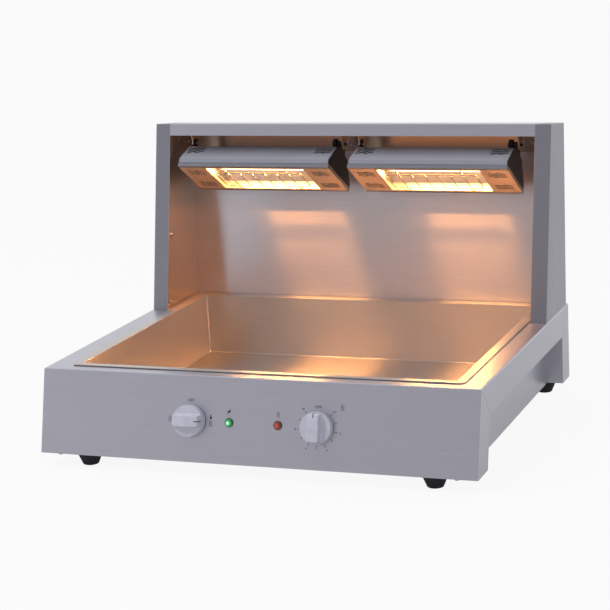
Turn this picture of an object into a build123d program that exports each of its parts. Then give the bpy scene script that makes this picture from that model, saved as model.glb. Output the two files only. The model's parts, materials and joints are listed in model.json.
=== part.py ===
from build123d import *
import os
from math import atan2, cos, degrees, hypot, sin

# Counter-top fry warmer: a heated pan in a low casing, under a raked canopy with two tilting lamp heads.
# Millimetres. Working frame: X to the right, Y back from the casing's top front edge, Z up from the
# casing's lower edge. Every piece is moved at the end so that the origin is under the middle of the box.

# Casing
CASING_W = 700.0          # over the two side skirts
CASING_D = 558.0          # top face, front edge to rear edge
CASING_H = 127.0
PANEL_RUN = 31.0          # how far the front panel's foot stands forward of its top
SHEET = 1.2
EDGE_STEP = 0.3           # how near an edge lies to the place it is picked by
BEND = 2.4                # outside radius of a folded edge
SKIRT_H = 47.0
FRONT_LEG = 53.0          # side leg beside the front panel, measured along Y
REAR_LEG = 50.0
RECESS = 27.0             # side panel set in behind the skirt
LINER = 1.0               # thinner sheet: liners, recessed panels, bottom plate
BOTTOM_RETURN = 8.0       # flange folded in along the lower edges
SEAM_W = 0.5              # dressed weld seam at a mitred corner
SEAM_DEPTH = 0.3
SEAM_STOP = 5.0           # dressed flush at each end, clear of the folded edges

# Lift-out pan
PAN_SIDE_MARGIN = 49.0    # casing side to the pan's inner wall, mean of the two sides
PAN_SHIFT = 3.0           # pan and its hole to the right of the casing's middle
PAN_FRONT_MARGIN = 33.1
PAN_REAR_MARGIN = 38.0
PAN_SIDE_FLANGE = 15.2    # stays clear of the liner screws' heads when the pan is lifted
PAN_FRONT_FLANGE = 12.0
PAN_REAR_FLANGE = 18.0
PAN_SHEET = 1.2
PAN_DRAFT = 2.0           # each wall leans in by this much from rim to floor
PAN_CORNER = 4.0
PAN_RIM_CORNER = 9.0
UNDER_PAN = 24.0          # casing's lower edge to the pan's underside
PAN_CLEARANCE = 1.5       # between the pan and the hole in the casing
PAD_R = 4.0
PAD_H = 0.9

# Canopy
UPRIGHT_INSET = 1.5       # upright's outer face behind the skirt's face
UPRIGHT_W = 26.7
CANOPY_H = 316.0          # casing top to the front upper edge
CANOPY_FOOT_D = 142.0     # upright at the casing top, front to back
CANOPY_SETBACK = 10.5     # upright's rear foot ahead of the casing's rear face
FRONT_RAKE = 60.0         # front upper edge behind the front foot
REAR_RAKE = 8.5           # rear upper edge behind the rear foot
ROOF_FALL = 10.0          # roof drops this much towards the rear
RAIL_H = 19.6             # front rail under the roof
RAIL_RETURN = 13.0
ROOF_BEND = 0.8
BACK_GAP = 4.0            # space between the back liner and the rear skin
HOOD_SKIRT = 39.0         # lamp hood's walls hang down this far
LINER_SCREW_IN = 11.0     # liner screws behind the canopy's front edge
LINER_SCREW_UP = (10.0, 126.0)
HOOD_SCREWS = [(-6.0, 24.0), (-1.0, 31.0), (9.0, 23.0)]    # past each lamp's right end, below the ceiling
HOOD_SIDE_SCREWS = [(51.0, 11.4), (13.0, 20.4)]            # ahead of the back liner, below the ceiling
REAR_SCREW_UP = (25.0, 158.0, 291.0)

# Lamp heads
LAMP_SIDE_GAP = 33.7      # lamp end to the canopy's inner wall
LAMP_MID_GAP = 33.2       # between the two lamp heads
LAMP_W = 114.6
LAMP_H = 48.7             # underside to flat top
LAMP_TOP_W = 52.0
LAMP_SIDE_H = 14.5
LAMP_SHEET = 0.9
FACE_H = 6.5              # face tray's rim
FACE_SEAM = 0.5
LAMP_TILT = 30.0          # underside turned towards the front
PIVOT_RISE = 15.3         # pivot above the lamp's flat top
PIVOT_BACK = 63.4         # pivot ahead of the rear upper edge
PIVOT_DROP = 38.0         # pivot below the front upper edge
END_SHEET = 1.2
WINDOW_END_MARGIN = 48.0  # face tray left solid at each end
WINDOW_SIDE_MARGIN = 10.3 # and along each side
TROUGH_TOP_W = 44.0
TROUGH_H = 39.0
TROUGH_WALL_H = 14.0      # upright part of the reflector's sides
TROUGH_SHEET = 0.6
TROUGH_FLANGE = 5.0
TUBE_R = 5.5
TUBE_WALL = 1.0
TUBE_RISE = 22.0          # tube axis above the underside
FILAMENT_R = 0.9
HOLDER_L = 20.0
HOLDER_W = 24.0
HOLDER_H = 34.0
HOLDER_ROUND = 2.0
TUBE_ROOM = 1.0           # around the tube where it leaves the reflector
WIRE_R = 1.0
WIRE_ROOM = 0.5           # around a guard wire where it passes under the reflector
WIRE_EDGE = 0.8           # rounding of the guard's pressed ring
GUARD_END_MARGIN = 10.9   # window end to the guard's end wire
GUARD_SIDE_MARGIN = 16.5  # window side to the guard's side wire
GUARD_DROP = 1.3          # guard's wires below the face tray
GUARD_LEG_IN = 2.2        # guard's legs inside the window's sides
GUARD_BARS = 6
GUARD_CORNER = 8.0

# Wavy vent slots
SLOT_L = 29.0
SLOT_W = 3.7
SLOT_SWING = 1.7
SLOT_WAVES = 2
SLOT_PITCH = 7.2
SLOT_ROWS = 3
VENT_END_MARGIN = 24.0    # lamp end to the middle of a face vent
CHAMFER_VENT_MARGIN = 20.5    # lamp end to the middle of a chamfer vent
CHAMFER_VENT_RISE = 9.0       # and from the chamfer's middle, up the chamfer
FACE_VENT_OUT = 27.0      # lamp's middle line to the middle of a face vent

# Lamp hangers and their fixings
HANGER_SHEET = 1.5
HANGER_GAP = 0.4
HANGER_TOP_L = 46.0
HANGER_TOP_BACK = 8.0     # middle of the hanger's top behind the pivot
HANGER_FLANGE = 24.0
EAR_R = 9.0
EAR_FOOT_W = 34.0
STUD_R = 2.5
RUN_FIT = 0.08            # radial clearance of a turning fit
STUD_PAST = 4.0           # stud's end beyond the hanger
STAR_L = 8.0
STAR_LOBES = 5
STAR_CORE_R = 6.7
STAR_LOBE_OUT = 6.1
STAR_LOBE_R = 2.9
STAR_EDGE = 0.8
STAR_HUB_R = 5.0
STAR_HUB_L = 8.0
PIVOT_HEAD_R = 4.5
PIVOT_HEAD_L = 3.0

# Controls on the front panel
CONTROL_DROP = 68.0       # down the slope from the top edge
CONTROL_SHIFT = 2.3       # control row to the right of the panel's middle
KNOB_X = 102.0
PILOT_X = 39.0
KNOB_R = 24.6
KNOB_GAP = 1.2
KNOB_TAPER = 0.6          # drum's front rim is this much smaller in radius
KNOB_DRUM_H = 11.4
KNOB_GRIP_H = 23.6        # top of the grip bar above the drum's back
KNOB_GRIP_W = 20.4        # grip bar's foot at its middle
KNOB_GRIP_END_W = 17.6
KNOB_GRIP_LEAN = 1.3      # bar's sides lean in by this much
KNOB_GRIP_TOP_R = 20.2    # bar's ends slope in to this radius
KNOB_GRIP_CROWN = 1.6     # bar's ends fall this far below its middle
KNOB_ROUND = 1.8
KNOB_FOOT_ROUND = 1.8
KNOB_RECESS_R = 15.0
KNOB_RECESS_H = 5.0
POINTER_W = 1.3
POINTER_L = 5.0
POINTER_DEPTH = 0.5
POINTER_FOOT = 2.0        # pointer's lower end above the drum's face
SHAFT_R = 3.0
SHAFT_OUT = 16.0
BUSH_R = 4.9
BUSH_OUT = 5.0
NUT_AF = 14.0
NUT_H = 2.4
SWITCH_SIZE = (42.0, 38.0, 26.0)
THERMOSTAT_SIZE = (48.0, 40.0, 30.0)
CONTROL_SETBACK = 4.0     # control body behind the panel's inner face
CONTROL_ROUND = 2.0
SHAFT_IN = 8.0            # shaft's end inside the control's body
TAB_SIZE = (6.3, 0.8, 5.0)
TAB_INSET = 9.0           # tab's middle in from the body's side
PILOT_R = 7.0
PILOT_FLANGE_H = 1.2
PILOT_DOME_H = 3.6
PILOT_BODY_R = 5.8
PILOT_BODY_L = 26.0
PILOT_TAB_SIZE = (0.8, 4.8, 8.0)
PILOT_TAB_OUT = 2.6
HOLE_CLEARANCE = 0.1

# Base heater and what stands on the bottom plate
BOARD_H = 7.0
BOARD_MARGIN = 12.0
STRIP_W = 14.0
STRIP_H = 2.0
STRIP_COUNT = 3
ELEMENT_R = 3.3
ELEMENT_PASSES = 6
ELEMENT_MARGIN = 45.0
ELEMENT_BEND = 30.0
ELEMENT_TAIL = 14.0       # heater's ends ahead of the pan's front wall
ELEMENT_OUT = 20.0        # first tail beside the passes
ELEMENT_IN = 40.0         # last tail inside the passes' ends
SEAT_GAP = 0.2
BULB_R = 3.0
BULB_L = 90.0
CAPILLARY_R = 1.0
CAPILLARY_BEND = 9.0
CAPILLARY_LEAD = 5.0      # straight out of the thermostat's back
CAPILLARY_INSET = 3.0     # in from the thermostat's side
TERMINAL_SIZE = (62.0, 20.0, 18.0)
TERMINAL_WAYS = 5
TERMINAL_HOLE_R = 2.6
TERMINAL_HOLE_DEPTH = 4.0
TERMINAL_X = 190.0

# Feet, gland and screws
FOOT_H = 21.2             # below the casing's lower edge
FOOT_TOP_R = 21.0
FOOT_NECK_R = 16.0        # between the casing's lower returns
FOOT_R = 12.0
FOOT_ROUND = 2.5
FOOT_BORE_R = 2.6
FOOT_SINK_R = 5.5
FOOT_SINK_H = 9.0
FOOT_SCREW_PAST = 4.2     # screw's end above the bottom plate
FOOT_SCREW_ROOM = 1.0     # around the screw's head
FRONT_FOOT = (72.0, -4.0)     # in from the casing's side, back from its top front edge
REAR_FOOT = (37.0, 28.0)      # in from the casing's side, in from its rear face
GLAND_X = -262.0
GLAND_Z = 42.0
GLAND_R = 7.9
GLAND_BORE_R = 4.5
GLAND_HEX = 24.0
GLAND_FLANGE_L = 5.0
GLAND_CAP_R = 9.5
GLAND_CAP_L = 11.0
GLAND_CAP_ROUND = 3.0
GLAND_NUT_L = 5.0
SCREW_R = 1.9
SCREW_HEAD_R = 3.6
SCREW_HEAD_H = 2.0
SCREW_HEAD_ROUND = 0.9
CROSS_L = 4.0
CROSS_W = 0.9
CROSS_DEPTH = 0.6
SCREW_L = 7.0
BOTTOM_SCREW_PAST = 2.0   # screw's end above the bottom plate

# Sizes that follow from the ones above
HALF_W = CASING_W / 2
SLOPE = atan2(PANEL_RUN, CASING_H)
INNER_X = HALF_W - UPRIGHT_INSET - UPRIGHT_W          # canopy's inner walls
REAR_FOOT_Y = CASING_D - CANOPY_SETBACK
FRONT_FOOT_Y = REAR_FOOT_Y - CANOPY_FOOT_D
ROOF_FRONT = (FRONT_FOOT_Y + FRONT_RAKE, CASING_H + CANOPY_H)
ROOF_REAR = (REAR_FOOT_Y + REAR_RAKE, CASING_H + CANOPY_H - ROOF_FALL)
CANOPY_OUTLINE = [(FRONT_FOOT_Y, CASING_H), ROOF_FRONT, ROOF_REAR, (REAR_FOOT_Y, CASING_H)]
RAIL_Z = ROOF_FRONT[1] - RAIL_H
HOOD_Z = RAIL_Z + LINER                               # underside of the lamp hood's ceiling
PIVOT = (ROOF_REAR[0] - PIVOT_BACK, ROOF_FRONT[1] - PIVOT_DROP)
LAMP_L = INNER_X - LAMP_SIDE_GAP - LAMP_MID_GAP / 2
LAMP_X = LAMP_MID_GAP / 2 + LAMP_L / 2
LAMP_FLOOR = -(PIVOT_RISE + LAMP_H)                   # underside, in the lamp's own frame
WINDOW_L = LAMP_L - 2 * WINDOW_END_MARGIN
WINDOW_W = LAMP_W - 2 * WINDOW_SIDE_MARGIN
GUARD_W = WINDOW_W - 2 * GUARD_SIDE_MARGIN
PAN_X = HALF_W - PAN_SIDE_MARGIN
PAN_BACK = CASING_D - PAN_REAR_MARGIN
PAN_FLOOR = UNDER_PAN + PAN_SHEET
PAN_RIM = CASING_H + PAD_H
PLATE_Z = SHEET                                       # bottom plate rests on the folded returns
BOARD_Z = PLATE_Z + LINER
STRIP_Z = BOARD_Z + BOARD_H
ELEMENT_Z = STRIP_Z + STRIP_H + SEAT_GAP + ELEMENT_R
PANEL_X = HALF_W - RECESS                             # face of the recessed side panel
PANEL = Plane(origin=(0, 0, CASING_H), x_dir=(1, 0, 0), z_dir=(0, -cos(SLOPE), sin(SLOPE)))

parts = {}


def front_y(z):
    """Front panel's outer face at a height."""
    return -PANEL_RUN * (1 - z / CASING_H)


def rear_y(z):
    """Canopy's rear plane at a height."""
    rise = ROOF_REAR[1] - CASING_H
    return REAR_FOOT_Y + REAR_RAKE * (z - CASING_H) / rise


def liner_y(z):
    """Inner face of the canopy's back liner at a height."""
    return rear_y(z) - LINER - BACK_GAP - LINER


def hood_y(z):
    """Inner face of the lamp hood's rear skirt at a height."""
    return liner_y(z) - LINER


def canopy_front_y(z):
    """Canopy's raked front plane at a height."""
    return FRONT_FOOT_Y + FRONT_RAKE * (z - CASING_H) / CANOPY_H


def inset(outline, walls):
    """Outline with each side moved in by its wall; a negative wall moves it out."""
    corners = list(zip(outline, outline[1:] + outline[:1]))
    area = sum(a[0] * b[1] - b[0] * a[1] for a, b in corners)
    turn = 1 if area > 0 else -1
    lines = []
    for (start, end), wall in zip(corners, walls):
        dx, dy = end[0] - start[0], end[1] - start[1]
        length = hypot(dx, dy)
        step = turn * wall / length
        lines.append((start[0] - step * dy, start[1] + step * dx, dx, dy))
    moved = []
    for (ax, ay, adx, ady), (bx, by, bdx, bdy) in zip(lines[-1:] + lines[:-1], lines):
        along = ((bx - ax) * bdy - (by - ay) * bdx) / (adx * bdy - ady * bdx)
        moved.append((ax + along * adx, ay + along * ady))
    return moved


def prism(outline, x_low, x_high):
    """Solid with an outline in (y, z), drawn out along X."""
    face = make_face(Polyline(*outline, close=True))
    return Pos(x_low, 0, 0) * extrude(Plane.YZ * face, x_high - x_low)


def bow(reach, rise):
    """Radius of an arc that rises by some height over half its chord."""
    return (reach ** 2 + rise ** 2) / (2 * rise)


def leaning_sheet(face, low, high, half):
    """Sheet between two heights whose front follows a leaning line."""
    front, top = face(low), face(high)
    outline = [(front, low), (top, high), (top + LINER, high), (front + LINER, low)]
    return prism(outline, -half, half)


def block(x, y, z):
    """Box between two limits on each axis."""
    size = Box(x[1] - x[0], y[1] - y[0], z[1] - z[0])
    return Pos(sum(x) / 2, sum(y) / 2, sum(z) / 2) * size


def rod(start, end, radius):
    """Round bar from one point to another."""
    axis = Vector(*end) - Vector(*start)
    return extrude(Plane(origin=start, z_dir=axis) * Circle(radius), axis.length)


def group(solids):
    """Several separate solids in one node."""
    return Compound(children=list(solids))


def both_sides(solid):
    """A piece and its mirror image across the middle plane."""
    return [mirror(solid, about=Plane.YZ), solid]


def bend(solid, radius, low, inner=-CASING_W):
    """Round every edge whose middle lies above a height and beyond an X."""
    spots = [(edge, edge.center()) for edge in solid.edges()]
    kept = [edge for edge, spot in spots if spot.Z > low + EDGE_STEP and spot.X > inner + EDGE_STEP]
    return fillet(kept, radius)


def on_panel(x, drop, out=0.0):
    """Place in the control row of the sloping front panel, with local Z pointing out of it."""
    return PANEL.location * Pos(x + CONTROL_SHIFT, -drop, out)


def pan_head(reach=SCREW_L):
    """Pan-head screw along +Z: the head stands above Z 0 and the shank hangs below."""
    head = Pos(0, 0, SCREW_HEAD_H / 2) * Cylinder(SCREW_HEAD_R, SCREW_HEAD_H)
    head = fillet(head.edges().group_by(Axis.Z)[-1], SCREW_HEAD_ROUND)
    cross = Box(CROSS_L, CROSS_W, 2 * CROSS_DEPTH) + Box(CROSS_W, CROSS_L, 2 * CROSS_DEPTH)
    return head + Pos(0, 0, -reach / 2) * Cylinder(SCREW_R, reach) - Pos(0, 0, SCREW_HEAD_H) * cross


def screw_hole(depth=SCREW_L):
    """Clearance hole for a pan-head screw, along Z through Z 0."""
    return Cylinder(SCREW_R + HOLE_CLEARANCE, 2 * depth)


def wavy_vent():
    """Rows of wavy slots as flat faces, centred, with the waves along local X."""
    step = SLOT_L / (2 * SLOT_WAVES)
    vent = Sketch()
    for row in range(SLOT_ROWS):
        y = (row - (SLOT_ROWS - 1) / 2) * SLOT_PITCH
        arcs = []
        for half in range(2 * SLOT_WAVES):
            x = -SLOT_L / 2 + half * step
            swing = SLOT_SWING if half % 2 else -SLOT_SWING
            arcs.append(ThreePointArc((x, y), (x + step / 2, y + swing), (x + step, y)))
        vent += trace(Curve() + arcs, SLOT_W)
    return vent


def casing():
    """Folded outer casing: top with the pan's hole, sloping front panel, skirts, legs and rear panel."""
    outline = [(0, CASING_H), (-PANEL_RUN, 0), (CASING_D, 0), (CASING_D, CASING_H)]
    outer = bend(prism(outline, -HALF_W, HALF_W), BEND, SHEET)
    cavity = prism(inset(outline, [SHEET, -SHEET, SHEET, SHEET]), SHEET - HALF_W, HALF_W - SHEET)
    shell = outer - bend(cavity, BEND - SHEET, 0)
    width = (SHEET - HALF_W, HALF_W - SHEET)
    shell += block(width, (front_y(0) + SHEET, front_y(0) + BOTTOM_RETURN), (0, SHEET))
    shell += block(width, (CASING_D - BOTTOM_RETURN, CASING_D - SHEET), (0, SHEET))
    shell -= prism(side_window(), -HALF_W - SHEET, HALF_W + SHEET)
    hole_x = PAN_X + PAN_SHEET + PAN_CLEARANCE
    hole_y = (PAN_FRONT_MARGIN - PAN_SHEET - PAN_CLEARANCE, PAN_BACK + PAN_SHEET + PAN_CLEARANCE)
    hole = block((PAN_SHIFT - hole_x, PAN_SHIFT + hole_x), hole_y, (CASING_H - 2 * SHEET, CASING_H + SHEET))
    shell -= fillet(hole.edges().filter_by(Axis.Z), PAN_CORNER + PAN_SHEET)
    for x in (-KNOB_X, KNOB_X):
        shell -= on_panel(x, CONTROL_DROP) * Cylinder(BUSH_R + HOLE_CLEARANCE, 4 * SHEET)
    for x in (-PILOT_X, PILOT_X):
        shell -= on_panel(x, CONTROL_DROP) * Cylinder(PILOT_BODY_R + HOLE_CLEARANCE, 4 * SHEET)
    gland_hole = Rot(90, 0, 0) * Cylinder(GLAND_R + HOLE_CLEARANCE, 4 * SHEET)
    shell -= Pos(GLAND_X, CASING_D, GLAND_Z) * gland_hole
    for place in bottom_screw_places():
        shell -= place * screw_hole(SHEET)
    for seam in mitre_seams():
        shell -= seam
    return shell


def mitre_seams():
    """Fine seams where each skirt meets its legs, between the top corner and the window's corner."""
    top = CASING_H - SKIRT_H
    front = Line((0, CASING_H), (front_y(top) + FRONT_LEG, top))
    rear = Line((CASING_D, CASING_H), (CASING_D - REAR_LEG, top))
    seams = []
    for line in (front, rear):
        stop = SEAM_STOP / line.length
        run = Line(line.position_at(stop), line.position_at(1 - stop))
        groove = extrude(Plane.YZ * trace(run, SEAM_W), 2 * SEAM_DEPTH)
        seams += both_sides(Pos(HALF_W - SEAM_DEPTH, 0, 0) * groove)
    return seams


def side_window():
    """Opening under the side skirt, between the sloping front leg and the rear leg, open below."""
    low, top = -SHEET, CASING_H - SKIRT_H
    rear = CASING_D - REAR_LEG
    return [(front_y(low) + FRONT_LEG, low), (front_y(top) + FRONT_LEG, top), (rear, top), (rear, low)]


def side_panel():
    """Right recessed panel under the skirt: a shallow tray open to the side and below."""
    window = side_window()
    tray = prism(inset(window, [-LINER, -LINER, -LINER, -SHEET]), PANEL_X - LINER, HALF_W - SHEET)
    tray -= prism(inset(window, [0, 0, 0, -3 * SHEET]), PANEL_X, HALF_W)
    return tray - block((0, HALF_W), (-CASING_D, 2 * CASING_D), (-3 * SHEET, 0))


def bottom_plate():
    """Flat plate that closes the casing below."""
    front = front_y(PLATE_Z + LINER) + 2 * SHEET
    half = PANEL_X - LINER
    plate = block((-half, half), (front, CASING_D - 2 * SHEET), (PLATE_Z, PLATE_Z + LINER))
    for x, y in foot_places():
        plate -= Pos(x, y, PLATE_Z) * Cylinder(FOOT_BORE_R, 4 * LINER)
    for place in bottom_screw_places():
        plate -= place * screw_hole()
    return plate


def foot_places():
    """Centres of the four feet."""
    front_x, rear_x = HALF_W - FRONT_FOOT[0], HALF_W - REAR_FOOT[0]
    rear = CASING_D - REAR_FOOT[1]
    return [(-front_x, FRONT_FOOT[1]), (front_x, FRONT_FOOT[1]), (-rear_x, rear), (rear_x, rear)]


def bottom_screw_places():
    """Screws driven up through the casing's lower returns, heads down, the rear pair inside the feet."""
    front = front_y(0) + SHEET + (BOTTOM_RETURN - SHEET) / 2
    rear = CASING_D - SHEET - (BOTTOM_RETURN - SHEET) / 2
    x = PANEL_X - SCREW_HEAD_R - 2 * LINER
    rows = ((x, front), (x - FOOT_TOP_R, rear))
    return [Pos(side * x, y, 0) * Rot(180, 0, 0) for x, y in rows for side in (-1, 1)]


def foot():
    """Tapered rubber foot with a neck up to the bottom plate and a sunk screw hole."""
    height = FOOT_H - SEAT_GAP
    cone = Pos(0, 0, height / 2 - FOOT_H) * Cone(FOOT_R, FOOT_TOP_R, height)
    cone = fillet(cone.edges().group_by(Axis.Z)[0], FOOT_ROUND)
    cone += rod((0, 0, -FOOT_H / 2), (0, 0, PLATE_Z), FOOT_NECK_R)
    cone -= Cylinder(FOOT_BORE_R, 4 * FOOT_H)
    return cone - Pos(0, 0, FOOT_SINK_H / 2 - FOOT_H) * Cylinder(FOOT_SINK_R, FOOT_SINK_H)


def foot_screw():
    """Screw and nut that hold a foot to the bottom plate."""
    head_z = FOOT_SINK_H - FOOT_H
    shank_top = PLATE_Z + LINER + FOOT_SCREW_PAST
    head = Pos(0, 0, head_z - SCREW_HEAD_H / 2) * Cylinder(FOOT_SINK_R - FOOT_SCREW_ROOM, SCREW_HEAD_H)
    return head + rod((0, 0, head_z), (0, 0, shank_top), FOOT_BORE_R - HOLE_CLEARANCE)


def pan():
    """Lift-out pan with straight walls, a flat floor and a rim that lies over the casing's hole."""
    rim = PAN_RIM + PAN_SHEET
    depth = rim - PAN_FLOOR
    lean = degrees(atan2(PAN_DRAFT, depth))
    middle = (PAN_FRONT_MARGIN + PAN_BACK) / 2
    width, length = 2 * PAN_X, PAN_BACK - PAN_FRONT_MARGIN
    mouth = RectangleRounded(width, length, PAN_CORNER)
    inside = extrude(Pos(0, middle, rim) * mouth, -depth, taper=lean)
    wall = RectangleRounded(width + 2 * PAN_SHEET, length + 2 * PAN_SHEET, PAN_CORNER + PAN_SHEET)
    outside = extrude(Pos(0, middle, rim) * wall, -depth - PAN_SHEET, taper=lean)
    front, back = PAN_FRONT_MARGIN - PAN_FRONT_FLANGE, PAN_BACK + PAN_REAR_FLANGE
    flange = RectangleRounded(2 * (PAN_X + PAN_SIDE_FLANGE), back - front, PAN_RIM_CORNER)
    body = outside + extrude(Pos(0, (front + back) / 2, PAN_RIM) * flange, PAN_SHEET)
    inside = fillet(inside.edges().group_by(Axis.Z)[0], PAN_CORNER / 2)
    return Pos(PAN_SHIFT, 0, 0) * fillet((body - inside).edges().filter_by(rim_mouth_edge), PAN_SHEET * 0.7)


def rim_mouth_edge(edge):
    """True for an edge where the pan's rim turns down into its mouth."""
    spot = edge.center()
    inside_x = abs(spot.X) < PAN_X + PAN_SHEET / 2
    inside_y = PAN_FRONT_MARGIN - PAN_SHEET / 2 < spot.Y < PAN_BACK + PAN_SHEET / 2
    return abs(spot.Z - PAN_RIM - PAN_SHEET) < 0.01 and inside_x and inside_y


def pan_pads():
    """Thin pads on the casing that carry the pan's rim."""
    side = PAN_X + PAN_SHEET + PAN_CLEARANCE + PAD_R + LINER
    depth = PAN_BACK - PAN_FRONT_MARGIN
    rows = [PAN_FRONT_MARGIN + depth * share for share in (0.1, 0.5, 0.9)]
    pad = Pos(0, 0, CASING_H + PAD_H / 2) * Cylinder(PAD_R, PAD_H)
    return group(Pos(x, y, 0) * pad for x in (PAN_SHIFT - side, PAN_SHIFT + side) for y in rows)


def upright():
    """Right canopy upright: folded channel, open towards the liner."""
    inner, face = INNER_X + LINER, HALF_W - UPRIGHT_INSET
    outer = prism(CANOPY_OUTLINE, inner, face)
    outer = bend(outer, BEND / 2, CASING_H, inner)
    shell = outer - prism(inset(CANOPY_OUTLINE, [LINER] * 4), INNER_X, face - LINER)
    for place in rear_screw_places():
        shell -= place * screw_hole()
    return shell


def side_liner():
    """Right inner wall of the canopy."""
    liner = prism(CANOPY_OUTLINE, INNER_X, INNER_X + LINER)
    for place in liner_screw_places():
        liner -= place * screw_hole()
    for place in hood_side_screw_places():
        liner -= place * screw_hole()
    return liner


def liner_screw_places():
    """Screws through the right liner, heads towards the serving space."""
    spots = [(canopy_front_y(CASING_H + up) + LINER_SCREW_IN, CASING_H + up) for up in LINER_SCREW_UP]
    return [Pos(INNER_X, y, z) * Rot(0, -90, 0) for y, z in spots]


def hood_side_screw_places():
    """Screws through the hood's right skirt into the liner, heads towards the lamps."""
    places = []
    for ahead, drop in HOOD_SIDE_SCREWS:
        z = HOOD_Z - drop
        places.append(Pos(INNER_X - LINER, liner_y(z) - ahead, z) * Rot(0, -90, 0))
    return places


def canopy_ring(x_low, x_high):
    """Closed band of sheet that follows the canopy's outline."""
    inner = prism(inset(CANOPY_OUTLINE, [LINER] * 4), x_low - 1, x_high + 1)
    return prism(CANOPY_OUTLINE, x_low, x_high) - inner


def roof():
    """Roof folded down into the front rail and a rear flange, between the uprights."""
    band = canopy_ring(-INNER_X, INNER_X)
    band -= block((-CASING_W, CASING_W), (-CASING_D, 2 * CASING_D), (0, RAIL_Z))
    front = canopy_front_y(RAIL_Z)
    band += block((-INNER_X, INNER_X), (front + LINER / 2, front + RAIL_RETURN), (RAIL_Z, RAIL_Z + LINER))
    corner = Vector(0, *ROOF_FRONT)
    fold = [edge for edge in band.edges() if (edge.center() - corner).length < EDGE_STEP]
    return fillet(fold, ROOF_BEND)


def back_liner():
    """Polished back wall of the serving space, leaning with the rear skin."""
    liner = leaning_sheet(liner_y, CASING_H, HOOD_Z, INNER_X)
    for place in hood_screw_places():
        liner -= place * screw_hole()
    return liner


def rear_cover():
    """Outer rear skin of the canopy, screwed over the two uprights."""
    half = HALF_W - UPRIGHT_INSET - BEND
    cover = leaning_sheet(rear_y, CASING_H + LINER, ROOF_REAR[1] - LINER, half)
    for place in rear_screw_places():
        cover -= place * screw_hole()
    return cover


def rear_screw_places():
    """Screws through the rear cover into the uprights, heads to the rear."""
    lean = degrees(atan2(REAR_RAKE, ROOF_REAR[1] - CASING_H))
    x = INNER_X + UPRIGHT_W / 2
    places = []
    for up in REAR_SCREW_UP:
        z = CASING_H + up
        places += [Pos(side * x, rear_y(z) + LINER, z) * Rot(-90 - lean, 0, 0) for side in (-1, 1)]
    return places


def lamp_hood():
    """Inverted tray under the roof: a ceiling with skirts over the liners' upper edges."""
    low = HOOD_Z - HOOD_SKIRT
    front = canopy_front_y(HOOD_Z) + 2 * LINER
    back = liner_y(HOOD_Z)
    hood = block((-INNER_X, INNER_X), (front, back + LINER), (HOOD_Z, HOOD_Z + LINER))
    hood += leaning_sheet(hood_y, low, HOOD_Z, INNER_X)
    outline = [(canopy_front_y(low) + 2 * LINER, low), (front + RAIL_RETURN, HOOD_Z)]
    outline += [(back, HOOD_Z), (liner_y(low), low)]
    skirt = prism(outline, INNER_X - LINER, INNER_X)
    for place in hood_side_screw_places():
        skirt -= place * screw_hole()
    for wall in both_sides(skirt):
        hood += wall
    for place in hood_screw_places():
        hood -= place * screw_hole()
    for x, y in hanger_screw_spots():
        hood -= Pos(x, y, HOOD_Z) * screw_hole()
    return hood


def hood_screw_places():
    """Screws through the hood's rear skirt, near each lamp's right-hand end."""
    lean = degrees(atan2(REAR_RAKE, ROOF_REAR[1] - CASING_H))
    places = []
    for lamp in (-LAMP_X, LAMP_X):
        for past, drop in HOOD_SCREWS:
            z = HOOD_Z - drop
            places.append(Pos(lamp + LAMP_L / 2 + past, hood_y(z), z) * Rot(90 - lean, 0, 0))
    return places


def hanger_top():
    """Front and rear ends of a hanger's top, in Y."""
    middle = PIVOT[0] + HANGER_TOP_BACK
    return (middle - HANGER_TOP_L / 2, middle + HANGER_TOP_L / 2)


def hanger_plate(x_low):
    """Plate across X that carries a lamp's pivot, hanging from the hood's ceiling."""
    y, z = PIVOT
    front, back = hanger_top()
    outline = [(front, HOOD_Z), (back, HOOD_Z), (y + EAR_R, z), (y - EAR_R, z)]
    plate = prism(outline, x_low, x_low + HANGER_SHEET)
    return plate + rod((x_low, y, z), (x_low + HANGER_SHEET, y, z), EAR_R)


def hanger(plates, top_x):
    """Folded bracket: plates with one flange against the ceiling, bored for the pivots and screws."""
    y, z = PIVOT
    bracket = block(top_x, hanger_top(), (HOOD_Z - HANGER_SHEET, HOOD_Z))
    for x_low in plates:
        bracket += hanger_plate(x_low)
    for x_low in plates:
        bracket -= rod((x_low - 1, y, z), (x_low + HANGER_SHEET + 1, y, z), STUD_R + RUN_FIT)
    for x, spot_y in hanger_screw_spots():
        bracket -= Pos(x, spot_y, HOOD_Z) * screw_hole()
    return bracket


def hanger_screw_spots():
    """Ceiling screws of the three hangers, in plan."""
    out = LAMP_X + LAMP_L / 2 + HANGER_GAP + HANGER_SHEET + HANGER_FLANGE / 2
    front, back = hanger_top()
    rows = (front + 2 * SCREW_HEAD_R, back - 2 * SCREW_HEAD_R)
    return [(x, y) for x in (-out, 0, out) for y in rows]


def outer_hanger():
    """Right-hand hanger beside the right lamp's outer end."""
    x = LAMP_X + LAMP_L / 2 + HANGER_GAP
    return hanger([x], (x, x + HANGER_SHEET + HANGER_FLANGE))


def middle_hanger():
    """Inverted channel between the lamps, carrying both inner ends."""
    x = LAMP_MID_GAP / 2 - HANGER_GAP
    return hanger([-x, x - HANGER_SHEET], (-x, x))


def lamp_outline(low):
    """Lamp head's section in (y, z) about its pivot, cut off at a lower height."""
    shoulder = LAMP_FLOOR + LAMP_SIDE_H
    top = LAMP_FLOOR + LAMP_H
    half, crown = LAMP_W / 2, LAMP_TOP_W / 2
    return [(-half, low), (-half, shoulder), (-crown, top), (crown, top), (half, shoulder), (half, low)]


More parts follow.
